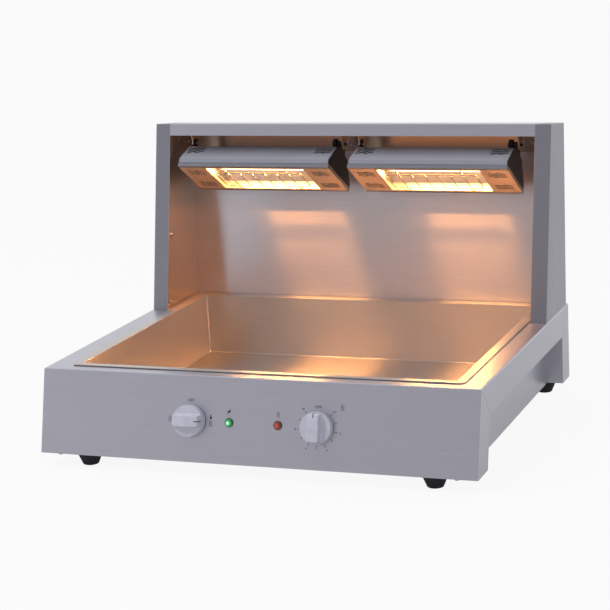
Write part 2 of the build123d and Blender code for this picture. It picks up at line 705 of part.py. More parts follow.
def lamp_housing():
    """Folded upper shell of a lamp head, vented near both ends."""
    low = LAMP_FLOOR + FACE_H + FACE_SEAM
    outline = lamp_outline(low)
    half = LAMP_L / 2 - END_SHEET
    shell = prism(outline, -half, half)
    shell -= prism(inset(outline, [LAMP_SHEET] * 5 + [-LAMP_SHEET]), -LAMP_L, LAMP_L)
    shoulder, crown = outline[1], outline[2]
    fall = degrees(atan2(crown[1] - shoulder[1], crown[0] - shoulder[0]))
    vent = extrude(wavy_vent(), 4 * LAMP_SHEET, both=True)
    middle = ((shoulder[0] + crown[0]) / 2, (shoulder[1] + crown[1]) / 2)
    x = LAMP_L / 2 - CHAMFER_VENT_MARGIN
    for side in (-1, 1):
        slant = Pos(0, -side * middle[0], middle[1]) * Rot(-side * fall, 0, 0)
        slant *= Pos(0, -side * CHAMFER_VENT_RISE, 0)
        for end in (-x, x):
            shell -= Pos(end, 0, 0) * slant * vent
    return shell


def lamp_end():
    """Right end plate with the ear that the pivot passes through."""
    outline = lamp_outline(LAMP_FLOOR + FACE_H + FACE_SEAM)
    top = LAMP_FLOOR + LAMP_H
    x = LAMP_L / 2 - END_SHEET
    half = EAR_FOOT_W / 2
    plate = prism(outline, x, LAMP_L / 2)
    plate += prism([(-half, top - 1), (half, top - 1), (EAR_R, 0), (-EAR_R, 0)], x, LAMP_L / 2)
    plate += rod((x, 0, 0), (LAMP_L / 2, 0, 0), EAR_R)
    return plate - rod((x - 1, 0, 0), (LAMP_L / 2 + 1, 0, 0), STUD_R + RUN_FIT)


def lamp_face():
    """Shallow face tray with the lamp window and four wavy vents."""
    half = LAMP_W / 2
    low = LAMP_FLOOR
    x = LAMP_L / 2
    tray = block((-x, x), (-half, half), (low, low + FACE_H))
    inner_x, inner_y = x - LAMP_SHEET, half - LAMP_SHEET
    tray -= block((-inner_x, inner_x), (-inner_y, inner_y), (low + LAMP_SHEET, low + 2 * FACE_H))
    window_x, window_y = WINDOW_L / 2, WINDOW_W / 2
    tray -= block((-window_x, window_x), (-window_y, window_y), (low - FACE_H, low + FACE_H))
    vent = extrude(wavy_vent(), 4 * LAMP_SHEET, both=True)
    for side_x in (-1, 1):
        for side_y in (-1, 1):
            tray -= Pos(side_x * (x - VENT_END_MARGIN), side_y * FACE_VENT_OUT, low) * vent
    return tray


def trough_outline(low, foot, top_half, top):
    """Reflector's section: upright sides at the window, sloping in to a narrow top."""
    wall = LAMP_FLOOR + TROUGH_WALL_H
    return [(-foot, low), (-foot, wall), (-top_half, top), (top_half, top), (foot, wall), (foot, low)]


def lamp_reflector():
    """Polished trough over the window, with notches for the guard's ends and holes for the tube."""
    low = LAMP_FLOOR + LAMP_SHEET
    top = LAMP_FLOOR + TROUGH_H
    half = WINDOW_L / 2 + TROUGH_SHEET
    outline = trough_outline(low, WINDOW_W / 2 + TROUGH_SHEET, TROUGH_TOP_W / 2, top)
    trough = prism(outline, -half, half)
    flange_x, flange_y = half + TROUGH_FLANGE, WINDOW_W / 2 + TROUGH_FLANGE
    trough += block((-flange_x, flange_x), (-flange_y, flange_y), (low, low + TROUGH_SHEET))
    hollow = inset(outline, [TROUGH_SHEET] * 5 + [-LAMP_SHEET])
    trough -= prism(hollow, TROUGH_SHEET - half, half - TROUGH_SHEET)
    tube_z = LAMP_FLOOR + TUBE_RISE
    trough -= rod((-LAMP_L, 0, tube_z), (LAMP_L, 0, tube_z), TUBE_R + TUBE_ROOM)
    notch = WIRE_R + WIRE_ROOM
    for x in (guard_bars()[0], guard_bars()[-1]):
        trough -= block((x - notch, x + notch), (-LAMP_W, LAMP_W), (LAMP_FLOOR, low + 2 * notch))
    return trough


def guard_end():
    """Distance of the guard ring's end wires from the lamp's middle."""
    return WINDOW_L / 2 - GUARD_END_MARGIN


def guard_bars():
    """X of each cross bar inside the guard's ring."""
    step = 2 * guard_end() / (GUARD_BARS + 1)
    return [-guard_end() + step * bar for bar in range(1, GUARD_BARS + 1)]


def lamp_guard():
    """Welded wire guard under the window: a ring with cross bars, hung by bent legs in the face tray."""
    z = LAMP_FLOOR - GUARD_DROP
    seat_z = LAMP_FLOOR + LAMP_SHEET + WIRE_R + SEAT_GAP / 2
    half = GUARD_W / 2
    reach = guard_end()
    outer = RectangleRounded(2 * reach + 2 * WIRE_R, GUARD_W + 2 * WIRE_R, GUARD_CORNER + WIRE_R)
    ring = outer - RectangleRounded(2 * reach - 2 * WIRE_R, GUARD_W - 2 * WIRE_R, GUARD_CORNER - WIRE_R)
    guard = extrude(Pos(0, 0, z - WIRE_R) * ring, 2 * WIRE_R)
    guard = fillet(guard.edges().group_by(Axis.Z)[0] + guard.edges().group_by(Axis.Z)[-1], WIRE_EDGE)
    seat = WINDOW_W / 2 + TROUGH_FLANGE
    leg = WINDOW_W / 2 - GUARD_LEG_IN
    for x in guard_bars():
        guard += rod((x, -half, z), (x, half, z), WIRE_R)
    for x in (guard_bars()[0], guard_bars()[-1]):
        for side in (-1, 1):
            drop = [(x, side * leg, z), (x, side * leg, seat_z)]
            route = [(x, side * half, z), *drop, (x, side * seat, seat_z)]
            for start, end in zip(route, route[1:]):
                guard += rod(start, end, WIRE_R)
            for corner in route[1:3]:
                guard += Pos(*corner) * Sphere(WIRE_R)
    return guard


def tube_reach():
    """Half the quartz tube's length: to the outer faces of its holders."""
    return WINDOW_L / 2 + TROUGH_SHEET + TROUGH_FLANGE + HOLDER_L


def quartz_tube():
    """Sealed quartz tube that holds the filament."""
    z = LAMP_FLOOR + TUBE_RISE
    reach = tube_reach() - 2 * TUBE_WALL
    tube = rod((-reach, 0, z), (reach, 0, z), TUBE_R)
    return tube - rod((2 * TUBE_WALL - reach, 0, z), (reach - 2 * TUBE_WALL, 0, z), TUBE_R - TUBE_WALL)


def filament():
    """Fine-wound filament along the tube's axis, drawn as a straight bar."""
    z = LAMP_FLOOR + TUBE_RISE
    reach = tube_reach() - 4 * TUBE_WALL
    return rod((-reach, 0, z), (reach, 0, z), FILAMENT_R)


def lamp_holders():
    """Two ceramic holders that stand on the face tray and grip the tube's ends."""
    z = LAMP_FLOOR + TUBE_RISE
    low = LAMP_FLOOR + LAMP_SHEET
    inner = WINDOW_L / 2 + TROUGH_SHEET + TROUGH_FLANGE + SEAT_GAP
    holder = block((inner, inner + HOLDER_L), (-HOLDER_W / 2, HOLDER_W / 2), (low, low + HOLDER_H))
    holder = fillet(holder.edges().group_by(Axis.Z)[-1], HOLDER_ROUND)
    bore = tube_reach() - 2 * TUBE_WALL + SEAT_GAP
    return group(both_sides(holder - rod((0, 0, z), (bore, 0, z), TUBE_R + HOLE_CLEARANCE)))


def star_knob():
    """Lobed hand knob with its stud, along -X from the ear's inner face at X 0."""
    lobes = Circle(STAR_CORE_R)
    for lobe in range(STAR_LOBES):
        lobes += Rot(0, 0, 360 * lobe / STAR_LOBES) * Pos(STAR_LOBE_OUT, 0) * Circle(STAR_LOBE_R)
    head = extrude(lobes, STAR_L)
    head = fillet(head.edges().group_by(Axis.Z)[-1] + head.edges().group_by(Axis.Z)[0], STAR_EDGE)
    hub = extrude(Pos(0, 0, SEAT_GAP) * Circle(STAR_HUB_R), STAR_HUB_L)
    reach = END_SHEET + HANGER_GAP + HANGER_SHEET + STUD_PAST
    stud = extrude(Pos(0, 0, -reach) * Circle(STUD_R), reach + STAR_HUB_L)
    return Rot(0, -90, 0) * (Pos(0, 0, STAR_HUB_L) * head + hub + stud)


def pivot_screw():
    """Shoulder screw through an ear and its hanger, head at +X of the ear's inner face at X 0."""
    reach = END_SHEET + HANGER_GAP + HANGER_SHEET + STUD_PAST
    head = rod((SEAT_GAP, 0, 0), (SEAT_GAP + PIVOT_HEAD_L, 0, 0), PIVOT_HEAD_R)
    return head + rod((-reach, 0, 0), (SEAT_GAP + PIVOT_HEAD_L, 0, 0), STUD_R)


def lamp_place(x):
    """Pivot of a lamp head, without the lamp's tilt."""
    return Pos(x, PIVOT[0], PIVOT[1])


def grip_side():
    """All that lies under the drum's face or behind the grip bar's bowed right-hand side."""
    turn = bow(KNOB_R, (KNOB_GRIP_W - KNOB_GRIP_END_W) / 2)
    heel = KNOB_DRUM_H + KNOB_FOOT_ROUND
    toe, near, far = -turn - KNOB_FOOT_ROUND, 3 * KNOB_R - turn, -3 * KNOB_R - turn
    foot = RadiusArc((toe, KNOB_DRUM_H), (-turn, heel), -KNOB_FOOT_ROUND)
    rest = Polyline((-turn, heel), (KNOB_GRIP_LEAN - turn, KNOB_GRIP_H), (near, KNOB_GRIP_H),
                    (near, 0), (far, 0), (far, KNOB_DRUM_H), (toe, KNOB_DRUM_H))
    profile = make_face(Plane.XZ * (Curve() + [foot, rest]))
    return Pos(KNOB_GRIP_W / 2 - turn, 0, 0) * revolve(profile, Axis.Z)


def knob():
    """Control knob with its pointer up; local Z points out of the panel."""
    turned = [(0, 0), (KNOB_R, 0), (KNOB_R - KNOB_TAPER, KNOB_DRUM_H), (KNOB_GRIP_TOP_R, KNOB_GRIP_H)]
    outline = Polyline(*turned, (0, KNOB_GRIP_H), close=True)
    whole = Rot(0, 0, 30) * revolve(make_face(Plane.XZ * outline), Axis.Z)
    for turn in (0, 180):
        whole &= Rot(0, 0, turn) * grip_side()
    crown = bow(KNOB_GRIP_TOP_R, KNOB_GRIP_CROWN)
    whole &= Pos(0, 0, KNOB_GRIP_H - crown) * Rot(0, 90, 0) * Cylinder(crown, 4 * KNOB_R)
    crest = KNOB_GRIP_H - KNOB_GRIP_CROWN - EDGE_STEP
    whole = fillet([edge for edge in whole.edges() if edge.center().Z > crest], KNOB_ROUND)
    whole -= Pos(0, 0, KNOB_RECESS_H / 2) * Cylinder(KNOB_RECESS_R, KNOB_RECESS_H)
    whole -= Cylinder(SHAFT_R + HOLE_CLEARANCE / 2, 2 * (SHAFT_OUT - KNOB_GAP + SEAT_GAP))
    return whole - pointer()


def pointer():
    """Pointer groove over the end of the grip bar, along its top and down its slope."""
    groove_x, groove_y = (-POINTER_W / 2, POINTER_W / 2), (KNOB_GRIP_TOP_R - POINTER_L, KNOB_R)
    groove = block(groove_x, groove_y, (KNOB_DRUM_H + POINTER_FOOT, 2 * KNOB_GRIP_H))
    tall = KNOB_GRIP_H - KNOB_DRUM_H
    middle = KNOB_DRUM_H + tall / 2 - KNOB_GRIP_CROWN - POINTER_DEPTH
    return groove - Pos(0, 0, middle) * Cone(KNOB_R - KNOB_TAPER, KNOB_GRIP_TOP_R, tall)


def control_shaft():
    """Turning shaft from inside the control's body to inside its knob."""
    return rod((0, 0, -SHEET - CONTROL_SETBACK - SHAFT_IN), (0, 0, SHAFT_OUT), SHAFT_R)


def control_body(size):
    """Switch or thermostat behind the panel, with its threaded bush through the panel's hole."""
    width, height, depth = size
    back = -SHEET - CONTROL_SETBACK
    body = Pos(0, 0, back - depth / 2) * Box(width, height, depth)
    body = fillet(body.edges().filter_by(Axis.Z), CONTROL_ROUND)
    body += extrude(Pos(0, 0, back) * Circle(BUSH_R), BUSH_OUT - back)
    body += extrude(Pos(0, 0, back) * Circle(2 * BUSH_R), CONTROL_SETBACK)
    for side in (-1, 1):
        tab = Pos(side * (width / 2 - TAB_INSET), 0, back - depth - TAB_SIZE[2] / 2) * Box(*TAB_SIZE)
        body += tab
    bore = back - SHAFT_IN - SEAT_GAP
    return body - extrude(Pos(0, 0, bore) * Circle(SHAFT_R + RUN_FIT), 2 * BUSH_OUT - bore)


def control_nut():
    """Thin hexagon nut on a control's bush, against the panel."""
    nut = extrude(RegularPolygon(NUT_AF / 2, 6, major_radius=False), NUT_H)
    return nut - Cylinder(BUSH_R + HOLE_CLEARANCE / 2, 4 * NUT_H)


def pilot_lens():
    """Domed pilot lens on the panel's face."""
    dome_r = bow(PILOT_R, PILOT_DOME_H)
    top = PILOT_FLANGE_H + PILOT_DOME_H
    drum = Pos(0, 0, top / 2) * Cylinder(PILOT_R, top)
    return drum & Pos(0, 0, top - dome_r) * Sphere(dome_r)


def pilot_body():
    """Pilot light's body behind its lens, with two tabs."""
    body = Pos(0, 0, -PILOT_BODY_L / 2) * Cylinder(PILOT_BODY_R, PILOT_BODY_L)
    for side in (-1, 1):
        body += Pos(side * PILOT_TAB_OUT, 0, -PILOT_BODY_L - PILOT_TAB_SIZE[2] / 2) * Box(*PILOT_TAB_SIZE)
    return body


def insulation_board():
    """Fibre board on the bottom plate, under the heater."""
    x = PAN_X - BOARD_MARGIN
    return block((-x, x), (PAN_FRONT_MARGIN, PAN_BACK), (BOARD_Z, BOARD_Z + BOARD_H))


def element_rows():
    """Y of each straight pass of the base heater."""
    first = PAN_FRONT_MARGIN + ELEMENT_MARGIN
    last = PAN_BACK - ELEMENT_MARGIN
    return [first + (last - first) * row / (ELEMENT_PASSES - 1) for row in range(ELEMENT_PASSES)]


def base_element():
    """Tubular heater in one plane: passes along X, both ends brought to the front."""
    half = PAN_X - ELEMENT_MARGIN
    front = PAN_FRONT_MARGIN - ELEMENT_TAIL
    rows = element_rows()
    points = [(-half - ELEMENT_OUT, front), (-half - ELEMENT_OUT, rows[-1])]
    for index, y in enumerate(reversed(rows)):
        ends = (-half, half) if index % 2 == 0 else (half, -half)
        if index:
            points.append((ends[0], y))
        points.append((ends[1], y))
    points[-1] = (-half + ELEMENT_IN, rows[0])
    points.append((-half + ELEMENT_IN, front))
    spots = [(x, y, ELEMENT_Z) for x, y in points]
    path = FilletPolyline(*spots, radius=ELEMENT_BEND)
    section = Plane(origin=path @ 0, z_dir=path % 0) * Circle(ELEMENT_R)
    return sweep(section, path=path)


def element_strips():
    """Flat bars across the board that carry the heater's passes."""
    reach = PAN_X - ELEMENT_MARGIN - ELEMENT_BEND - STRIP_W
    depth = (PAN_FRONT_MARGIN + BOARD_MARGIN, PAN_BACK - BOARD_MARGIN)
    bars = []
    for bar in range(STRIP_COUNT):
        x = -reach + 2 * reach * bar / (STRIP_COUNT - 1)
        bars.append(block((x - STRIP_W / 2, x + STRIP_W / 2), depth, (STRIP_Z, STRIP_Z + STRIP_H)))
    return group(bars)


def thermostat_probe():
    """Sensing bulb under the pan and the capillary that leads back to the thermostat."""
    y = (PAN_FRONT_MARGIN + element_rows()[0]) / 2
    z = STRIP_Z + STRIP_H + SEAT_GAP + BULB_R
    reach = PAN_X - ELEMENT_MARGIN - ELEMENT_BEND - STRIP_W
    bulb_x = (reach - BULB_L / 2, reach + BULB_L / 2)
    start_x = KNOB_X + THERMOSTAT_SIZE[0] / 2 - CAPILLARY_INSET
    back = -SHEET - CONTROL_SETBACK - THERMOSTAT_SIZE[2]
    start = on_panel(start_x, CONTROL_DROP, back).position
    turn = on_panel(start_x, CONTROL_DROP, back - CAPILLARY_LEAD).position
    spots = [start, turn, (turn.X, turn.Y, z), (turn.X, y, z), (bulb_x[0] + CAPILLARY_R, y, z)]
    path = FilletPolyline(*spots, radius=[CAPILLARY_LEAD - CAPILLARY_R, CAPILLARY_BEND, CAPILLARY_BEND])
    section = Plane(origin=path @ 0, z_dir=path % 0) * Circle(CAPILLARY_R)
    return sweep(section, path=path) + rod((bulb_x[0], y, z), (bulb_x[1], y, z), BULB_R)


def terminal_block():
    """Terminal block on the bottom plate, behind the front panel."""
    length, width, height = TERMINAL_SIZE
    low = PLATE_Z + LINER
    base = Pos(TERMINAL_X, FRONT_FOOT[1], low + height / 2) * Box(*TERMINAL_SIZE)
    pitch = length / TERMINAL_WAYS
    for way in range(TERMINAL_WAYS):
        x = TERMINAL_X - length / 2 + pitch * (way + 0.5)
        base -= Pos(x, FRONT_FOOT[1], low + height) * Cylinder(TERMINAL_HOLE_R, 2 * TERMINAL_HOLE_DEPTH)
    return base


def cable_gland():
    """Gland through the rear panel, with its flange and cap outside and its nut inside."""
    hexagon = RegularPolygon(GLAND_HEX / 2, 6, major_radius=False)
    inner = -SHEET - GLAND_NUT_L
    cap = extrude(Pos(0, 0, GLAND_FLANGE_L) * Circle(GLAND_CAP_R), GLAND_CAP_L)
    gland = fillet(cap.edges().group_by(Axis.Z)[-1], GLAND_CAP_ROUND)
    gland += extrude(hexagon, GLAND_FLANGE_L)
    gland += extrude(Pos(0, 0, inner) * Circle(GLAND_R), -inner)
    gland += extrude(Pos(0, 0, inner) * hexagon, GLAND_NUT_L)
    gland -= Cylinder(GLAND_BORE_R, 4 * (GLAND_FLANGE_L + GLAND_CAP_L))
    return Pos(GLAND_X, CASING_D, GLAND_Z) * Rot(-90, 0, 0) * gland


def build_base():
    """Casing, bottom, heater, pan pads and feet."""
    parts["casing"] = casing()
    for name, solid in zip(("side_panel_left", "side_panel_right"), both_sides(side_panel())):
        parts[name] = solid
    parts["bottom_plate"] = bottom_plate()
    parts["insulation_board"] = insulation_board()
    parts["element_strips"] = element_strips()
    parts["base_element"] = base_element()
    parts["thermostat_probe"] = thermostat_probe()
    parts["terminal_block"] = terminal_block()
    parts["cable_gland"] = cable_gland()
    parts["rubber_feet"] = group(Pos(x, y, 0) * foot() for x, y in foot_places())
    parts["foot_screws"] = group(Pos(x, y, 0) * foot_screw() for x, y in foot_places())
    reach = SHEET + LINER + BOTTOM_SCREW_PAST
    parts["bottom_screws"] = group(place * pan_head(reach) for place in bottom_screw_places())
    parts["pan_pads"] = pan_pads()
    parts["pan"] = pan()


def build_controls():
    """Switch, thermostat, pilots and knobs on the sloping panel."""
    left, right = on_panel(-KNOB_X, CONTROL_DROP), on_panel(KNOB_X, CONTROL_DROP)
    parts["selector_switch"] = left * control_body(SWITCH_SIZE)
    parts["thermostat"] = right * control_body(THERMOSTAT_SIZE)
    parts["control_nuts"] = group([left * control_nut(), right * control_nut()])
    parts["selector_shaft"] = left * control_shaft()
    parts["thermostat_shaft"] = right * control_shaft()
    parts["selector_knob"] = left * Pos(0, 0, KNOB_GAP) * Rot(0, 0, -90) * knob()
    parts["thermostat_knob"] = right * Pos(0, 0, KNOB_GAP) * knob()
    for name, x in (("pilot_lens_power", -PILOT_X), ("pilot_lens_heat", PILOT_X)):
        parts[name] = on_panel(x, CONTROL_DROP) * pilot_lens()
    parts["pilot_bodies"] = group(on_panel(x, CONTROL_DROP) * pilot_body() for x in (-PILOT_X, PILOT_X))


def build_canopy():
    """Uprights, liners, roof, hood, rear skin and lamp hangers."""
    for name, solid in zip(("upright_left", "upright_right"), both_sides(upright())):
        parts[name] = solid
    for name, solid in zip(("side_liner_left", "side_liner_right"), both_sides(side_liner())):
        parts[name] = solid
    parts["back_liner"] = back_liner()
    parts["rear_cover"] = rear_cover()
    parts["roof"] = roof()
    parts["lamp_hood"] = lamp_hood()
    for name, solid in zip(("hanger_left", "hanger_right"), both_sides(outer_hanger())):
        parts[name] = solid
    parts["hanger_middle"] = middle_hanger()
    liner_screws = []
    for place in liner_screw_places():
        liner_screws += both_sides(place * pan_head())
    parts["liner_screws"] = group(liner_screws)
    hood_screws = [place * pan_head(BACK_GAP) for place in hood_screw_places()]
    for place in hood_side_screw_places():
        hood_screws += both_sides(place * pan_head())
    parts["hood_screws"] = group(hood_screws)
    parts["rear_screws"] = group(place * pan_head() for place in rear_screw_places())
    parts["hanger_screws"] = group(
        Pos(x, y, HOOD_Z - HANGER_SHEET) * Rot(180, 0, 0) * pan_head() for x, y in hanger_screw_spots())


def build_lamps():
    """Two tilted lamp heads with their hand knobs and pivot screws."""
    ear = LAMP_L / 2 - END_SHEET
    screws = []
    for side, x in (("left", -LAMP_X), ("right", LAMP_X)):
        tilt = lamp_place(x) * Rot(-LAMP_TILT, 0, 0)
        parts[f"lamp_{side}_housing"] = tilt * lamp_housing()
        parts[f"lamp_{side}_ends"] = group(tilt * end for end in both_sides(lamp_end()))
        parts[f"lamp_{side}_face"] = tilt * lamp_face()
        parts[f"lamp_{side}_reflector"] = tilt * lamp_reflector()
        parts[f"lamp_{side}_tube"] = tilt * quartz_tube()
        parts[f"lamp_{side}_filament"] = tilt * filament()
        parts[f"lamp_{side}_holders"] = tilt * lamp_holders()
        parts[f"lamp_{side}_guard"] = tilt * lamp_guard()
        parts[f"star_knob_{side}"] = lamp_place(x + ear) * star_knob()
        screws.append(lamp_place(x - ear) * pivot_screw())
    parts["pivot_screws"] = group(screws)


build_base()
build_controls()
build_canopy()
build_lamps()
whole = Compound(children=[Compound(solid.solids()) for solid in parts.values()]).bounding_box()
shift = Pos(0, -(whole.min.Y + whole.max.Y) / 2, -whole.min.Z)
os.makedirs("parts", exist_ok=True)
for name, solid in parts.items():
    export_step(shift * solid, f"parts/{name}.step")
print("nodes", len(parts), "box", whole.size, "shift", shift.position)
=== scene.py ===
import json
import math

import bpy
from bpy.props import FloatProperty, FloatVectorProperty, IntProperty, PointerProperty
from mathutils import Matrix, Vector


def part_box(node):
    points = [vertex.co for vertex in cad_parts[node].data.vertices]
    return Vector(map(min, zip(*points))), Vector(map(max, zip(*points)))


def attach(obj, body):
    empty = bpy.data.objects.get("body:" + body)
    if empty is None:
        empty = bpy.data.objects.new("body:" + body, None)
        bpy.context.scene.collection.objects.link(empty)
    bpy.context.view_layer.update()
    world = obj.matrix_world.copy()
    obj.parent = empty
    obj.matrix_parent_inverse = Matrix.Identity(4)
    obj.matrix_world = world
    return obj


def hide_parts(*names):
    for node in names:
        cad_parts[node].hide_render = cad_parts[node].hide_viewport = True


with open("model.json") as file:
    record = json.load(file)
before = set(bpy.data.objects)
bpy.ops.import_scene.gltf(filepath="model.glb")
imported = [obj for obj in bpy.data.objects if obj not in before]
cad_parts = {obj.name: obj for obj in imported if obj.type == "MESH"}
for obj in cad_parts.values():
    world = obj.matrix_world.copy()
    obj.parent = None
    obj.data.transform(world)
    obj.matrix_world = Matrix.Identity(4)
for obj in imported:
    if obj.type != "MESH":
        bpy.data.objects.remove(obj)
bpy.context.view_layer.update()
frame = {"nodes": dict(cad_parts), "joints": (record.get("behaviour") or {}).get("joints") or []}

bl_info = {
    "name": "Fry Warmer Finish",
    "version": (1, 0, 0),
    "blender": (4, 5, 0),
    "location": "View3D > Sidebar > Fry Warmer",
    "description": "Finishes, dial print, lamp filaments and studio for a counter-top fry warmer",
    "category": "Object",
}

MM = 0.001
JOINTS = {joint["name"]: joint for joint in frame["joints"]}
SIDES = ("left", "right")
WHITE = (1, 1, 1, 1)
BLACK = (0, 0, 0, 1)

# Value bands, as inputs of a Map Range: of one noise, of a soft one, and of two noises added up.
NOISE_BAND = {1: 0.3, 2: 0.7}
CLOUD_BAND = {1: 0.35, 2: 0.7}
SUM_BAND = {1: 0.7, 2: 1.3}
# A face belongs to the object's left or right when its normal has this much of X.
SIDE_LEAN = 0.7
# Handling leaves faint clouds of this size on the sheets.
CLOUD_MM = 60.0
# Brightness of a scratch beside the sheet around it.
SCRATCH_SHADE = 0.92
# A moulded or cast finish varies in patches this many grains wide, by this much roughness.
PATCH_GRAINS = 18
GLOSS_SWING = 0.06
COAT_ROUGHNESS = 0.15
# The lamp tubes are fully lit up to the first distance from the reflector's ends, and dark from the second.
LIT_MM = 18
DARK_MM = 10


def linear(code):
    """Linear RGBA of an sRGB hex colour."""
    values = [int(code[i:i + 2], 16) / 255 for i in (1, 3, 5)]
    return tuple(v / 12.92 if v <= 0.04045 else ((v + 0.055) / 1.055) ** 2.4 for v in values) + (1.0,)


def add_node(tree, kind, inputs=None, **settings):
    """Adds a node with its settings, then fills its inputs with values or links them to sockets."""
    node = tree.nodes.new(kind)
    for name, value in settings.items():
        setattr(node, name, value)
    for key, value in (inputs or {}).items():
        if isinstance(value, bpy.types.NodeSocket):
            tree.links.new(value, node.inputs[key])
        else:
            node.inputs[key].default_value = value
    return node


def new_material(name):
    """A material with an empty node tree."""
    material = bpy.data.materials.new(name)
    material.use_nodes = True
    tree = material.node_tree
    tree.nodes.clear()
    return material, tree


def finish_material(tree, shader):
    """Links a shader to the material's output."""
    add_node(tree, "ShaderNodeOutputMaterial", {"Surface": shader.outputs[0]})


def dress(material, *nodes):
    """Gives CAD nodes a material in their own slots."""
    for name in nodes:
        slots = frame["nodes"][name].data.materials
        if len(slots) == 0:
            slots.append(material)
        for i in range(len(slots)):
            slots[i] = material


def brushed_sheet(p, name, colour, roughness, spread, smudge, metal=1.0, side=(0, 1, 0)):
    """Stainless sheet, belt-brushed: short parallel scratches that draw highlights out across them.

    The real scratches are about 0.1 mm apart, too fine for the render, so line_mm draws them coarser.
    They run along X, and along side on faces that look to the left or right.
    """
    material, tree = new_material(name)
    place = add_node(tree, "ShaderNodeTexCoord").outputs["Object"]
    normal = add_node(tree, "ShaderNodeNewGeometry").outputs["Normal"]
    lean = add_node(tree, "ShaderNodeSeparateXYZ", {0: normal}).outputs["X"]
    lean = add_node(tree, "ShaderNodeMath", {0: lean}, operation="ABSOLUTE").outputs[0]
    sideways = add_node(tree, "ShaderNodeMath", {0: lean, 1: SIDE_LEAN}, operation="GREATER_THAN").outputs[0]
    brush = add_node(tree, "ShaderNodeMix", {"Factor": sideways, 4: (1, 0, 0), 5: side},
                     data_type="VECTOR").outputs[1]
    tangent = add_node(tree, "ShaderNodeVectorMath", {0: normal, 1: brush},
                       operation="CROSS_PRODUCT").outputs[0]
    along = 1 / (p.stroke_mm * MM)
    across = 1 / (p.line_mm * MM)
    stretch = add_node(tree, "ShaderNodeVectorMath", {0: brush, 1: (along - across,) * 3, 2: (across,) * 3},
                       operation="MULTIPLY_ADD").outputs[0]
    strokes = add_node(tree, "ShaderNodeVectorMath", {0: place, 1: stretch}, operation="MULTIPLY").outputs[0]
    scratch = add_node(tree, "ShaderNodeTexNoise", {
        "Vector": strokes, "Scale": 1.0, "Detail": 4.0, "Roughness": 0.65}).outputs["Fac"]
    cloud = add_node(tree, "ShaderNodeTexNoise", {
        "Vector": place, "Scale": 1 / (CLOUD_MM * MM), "Detail": 2.0, "Roughness": 0.5}).outputs["Fac"]
    shade = add_node(tree, "ShaderNodeMapRange", {
        "Value": scratch, **NOISE_BAND, 3: SCRATCH_SHADE, 4: 1.0}).outputs[0]
    tint = add_node(tree, "ShaderNodeMix", {"Factor": shade, 6: BLACK, 7: linear(colour)},
                    data_type="RGBA").outputs[2]
    worn = add_node(tree, "ShaderNodeMapRange", {
        "Value": cloud, **CLOUD_BAND, 3: roughness - smudge, 4: roughness + smudge}).outputs[0]
    rough = add_node(tree, "ShaderNodeMapRange", {
        "Value": scratch, **NOISE_BAND, 3: -smudge / 2, 4: smudge / 2}).outputs[0]
    rough = add_node(tree, "ShaderNodeMath", {0: rough, 1: worn}, operation="ADD").outputs[0]
    finish_material(tree, add_node(tree, "ShaderNodeBsdfPrincipled", {
        "Base Color": tint, "Metallic": metal, "Roughness": rough, "Anisotropic": spread,
        "Tangent": tangent}))
    return material


def grained(name, colour, dark, roughness, grain_mm, metallic=0.0, relief=0.08, coat=0.0, ior=1.5):
    """A solid finish with a fine grain: its colour and relief follow the grain, its gloss wider patches.

    Where the real grain is too fine for the render, grain_mm draws it coarser.
    """
    material, tree = new_material(name)
    place = add_node(tree, "ShaderNodeTexCoord").outputs["Object"]
    grain = add_node(tree, "ShaderNodeTexNoise", {
        "Vector": place, "Scale": 1 / (grain_mm * MM), "Detail": 3.0, "Roughness": 0.6}).outputs["Fac"]
    patch = add_node(tree, "ShaderNodeTexNoise", {
        "Vector": place, "Scale": 1 / (PATCH_GRAINS * grain_mm * MM), "Detail": 2.0}).outputs["Fac"]
    both = add_node(tree, "ShaderNodeMath", {0: grain, 1: patch}, operation="ADD").outputs[0]
    mask = add_node(tree, "ShaderNodeMapRange", {"Value": both, **SUM_BAND}).outputs[0]
    tint = add_node(tree, "ShaderNodeMix", {"Factor": mask, 6: linear(dark), 7: linear(colour)},
                    data_type="RGBA").outputs[2]
    rough = add_node(tree, "ShaderNodeMapRange", {
        "Value": patch, **NOISE_BAND, 3: roughness - GLOSS_SWING, 4: roughness + GLOSS_SWING}).outputs[0]
    bump = add_node(tree, "ShaderNodeBump", {
        "Height": grain, "Strength": relief, "Distance": grain_mm * MM}).outputs[0]
    finish_material(tree, add_node(tree, "ShaderNodeBsdfPrincipled", {
        "Base Color": tint, "Metallic": metallic, "Roughness": rough, "Normal": bump,
        "Coat Weight": coat, "Coat Roughness": COAT_ROUGHNESS, "IOR": ior}))
    return material


def paint_over(material, mask, colour):
    """Lays a second colour over a finish where the mask is 1."""
    tree = material.node_tree
    shader = tree.nodes["Principled BSDF"]
    skin = shader.inputs["Base Color"].links[0].from_socket
    tint = add_node(tree, "ShaderNodeMix", {"Factor": mask, 6: skin, 7: linear(colour)}, data_type="RGBA")
    tree.links.new(tint.outputs[2], shader.inputs["Base Color"])


def lit_length(tree, place, strength):
    """Emission strength along both tubes: full over the window, none towards their cold ends."""
    low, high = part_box("lamp_right_reflector")
    middle = (low[0] + high[0]) / 2
    half = (high[0] - low[0]) / 2
    x = add_node(tree, "ShaderNodeSeparateXYZ", {0: place}).outputs["X"]
    out = add_node(tree, "ShaderNodeMath", {0: x}, operation="ABSOLUTE").outputs[0]
    off = add_node(tree, "ShaderNodeMath", {0: out, 1: middle}, operation="SUBTRACT").outputs[0]
    off = add_node(tree, "ShaderNodeMath", {0: off}, operation="ABSOLUTE").outputs[0]
    return add_node(tree, "ShaderNodeMapRange", {
        "Value": off, 1: half - LIT_MM * MM, 2: half - DARK_MM * MM, 3: strength, 4: 0.0}).outputs[0]


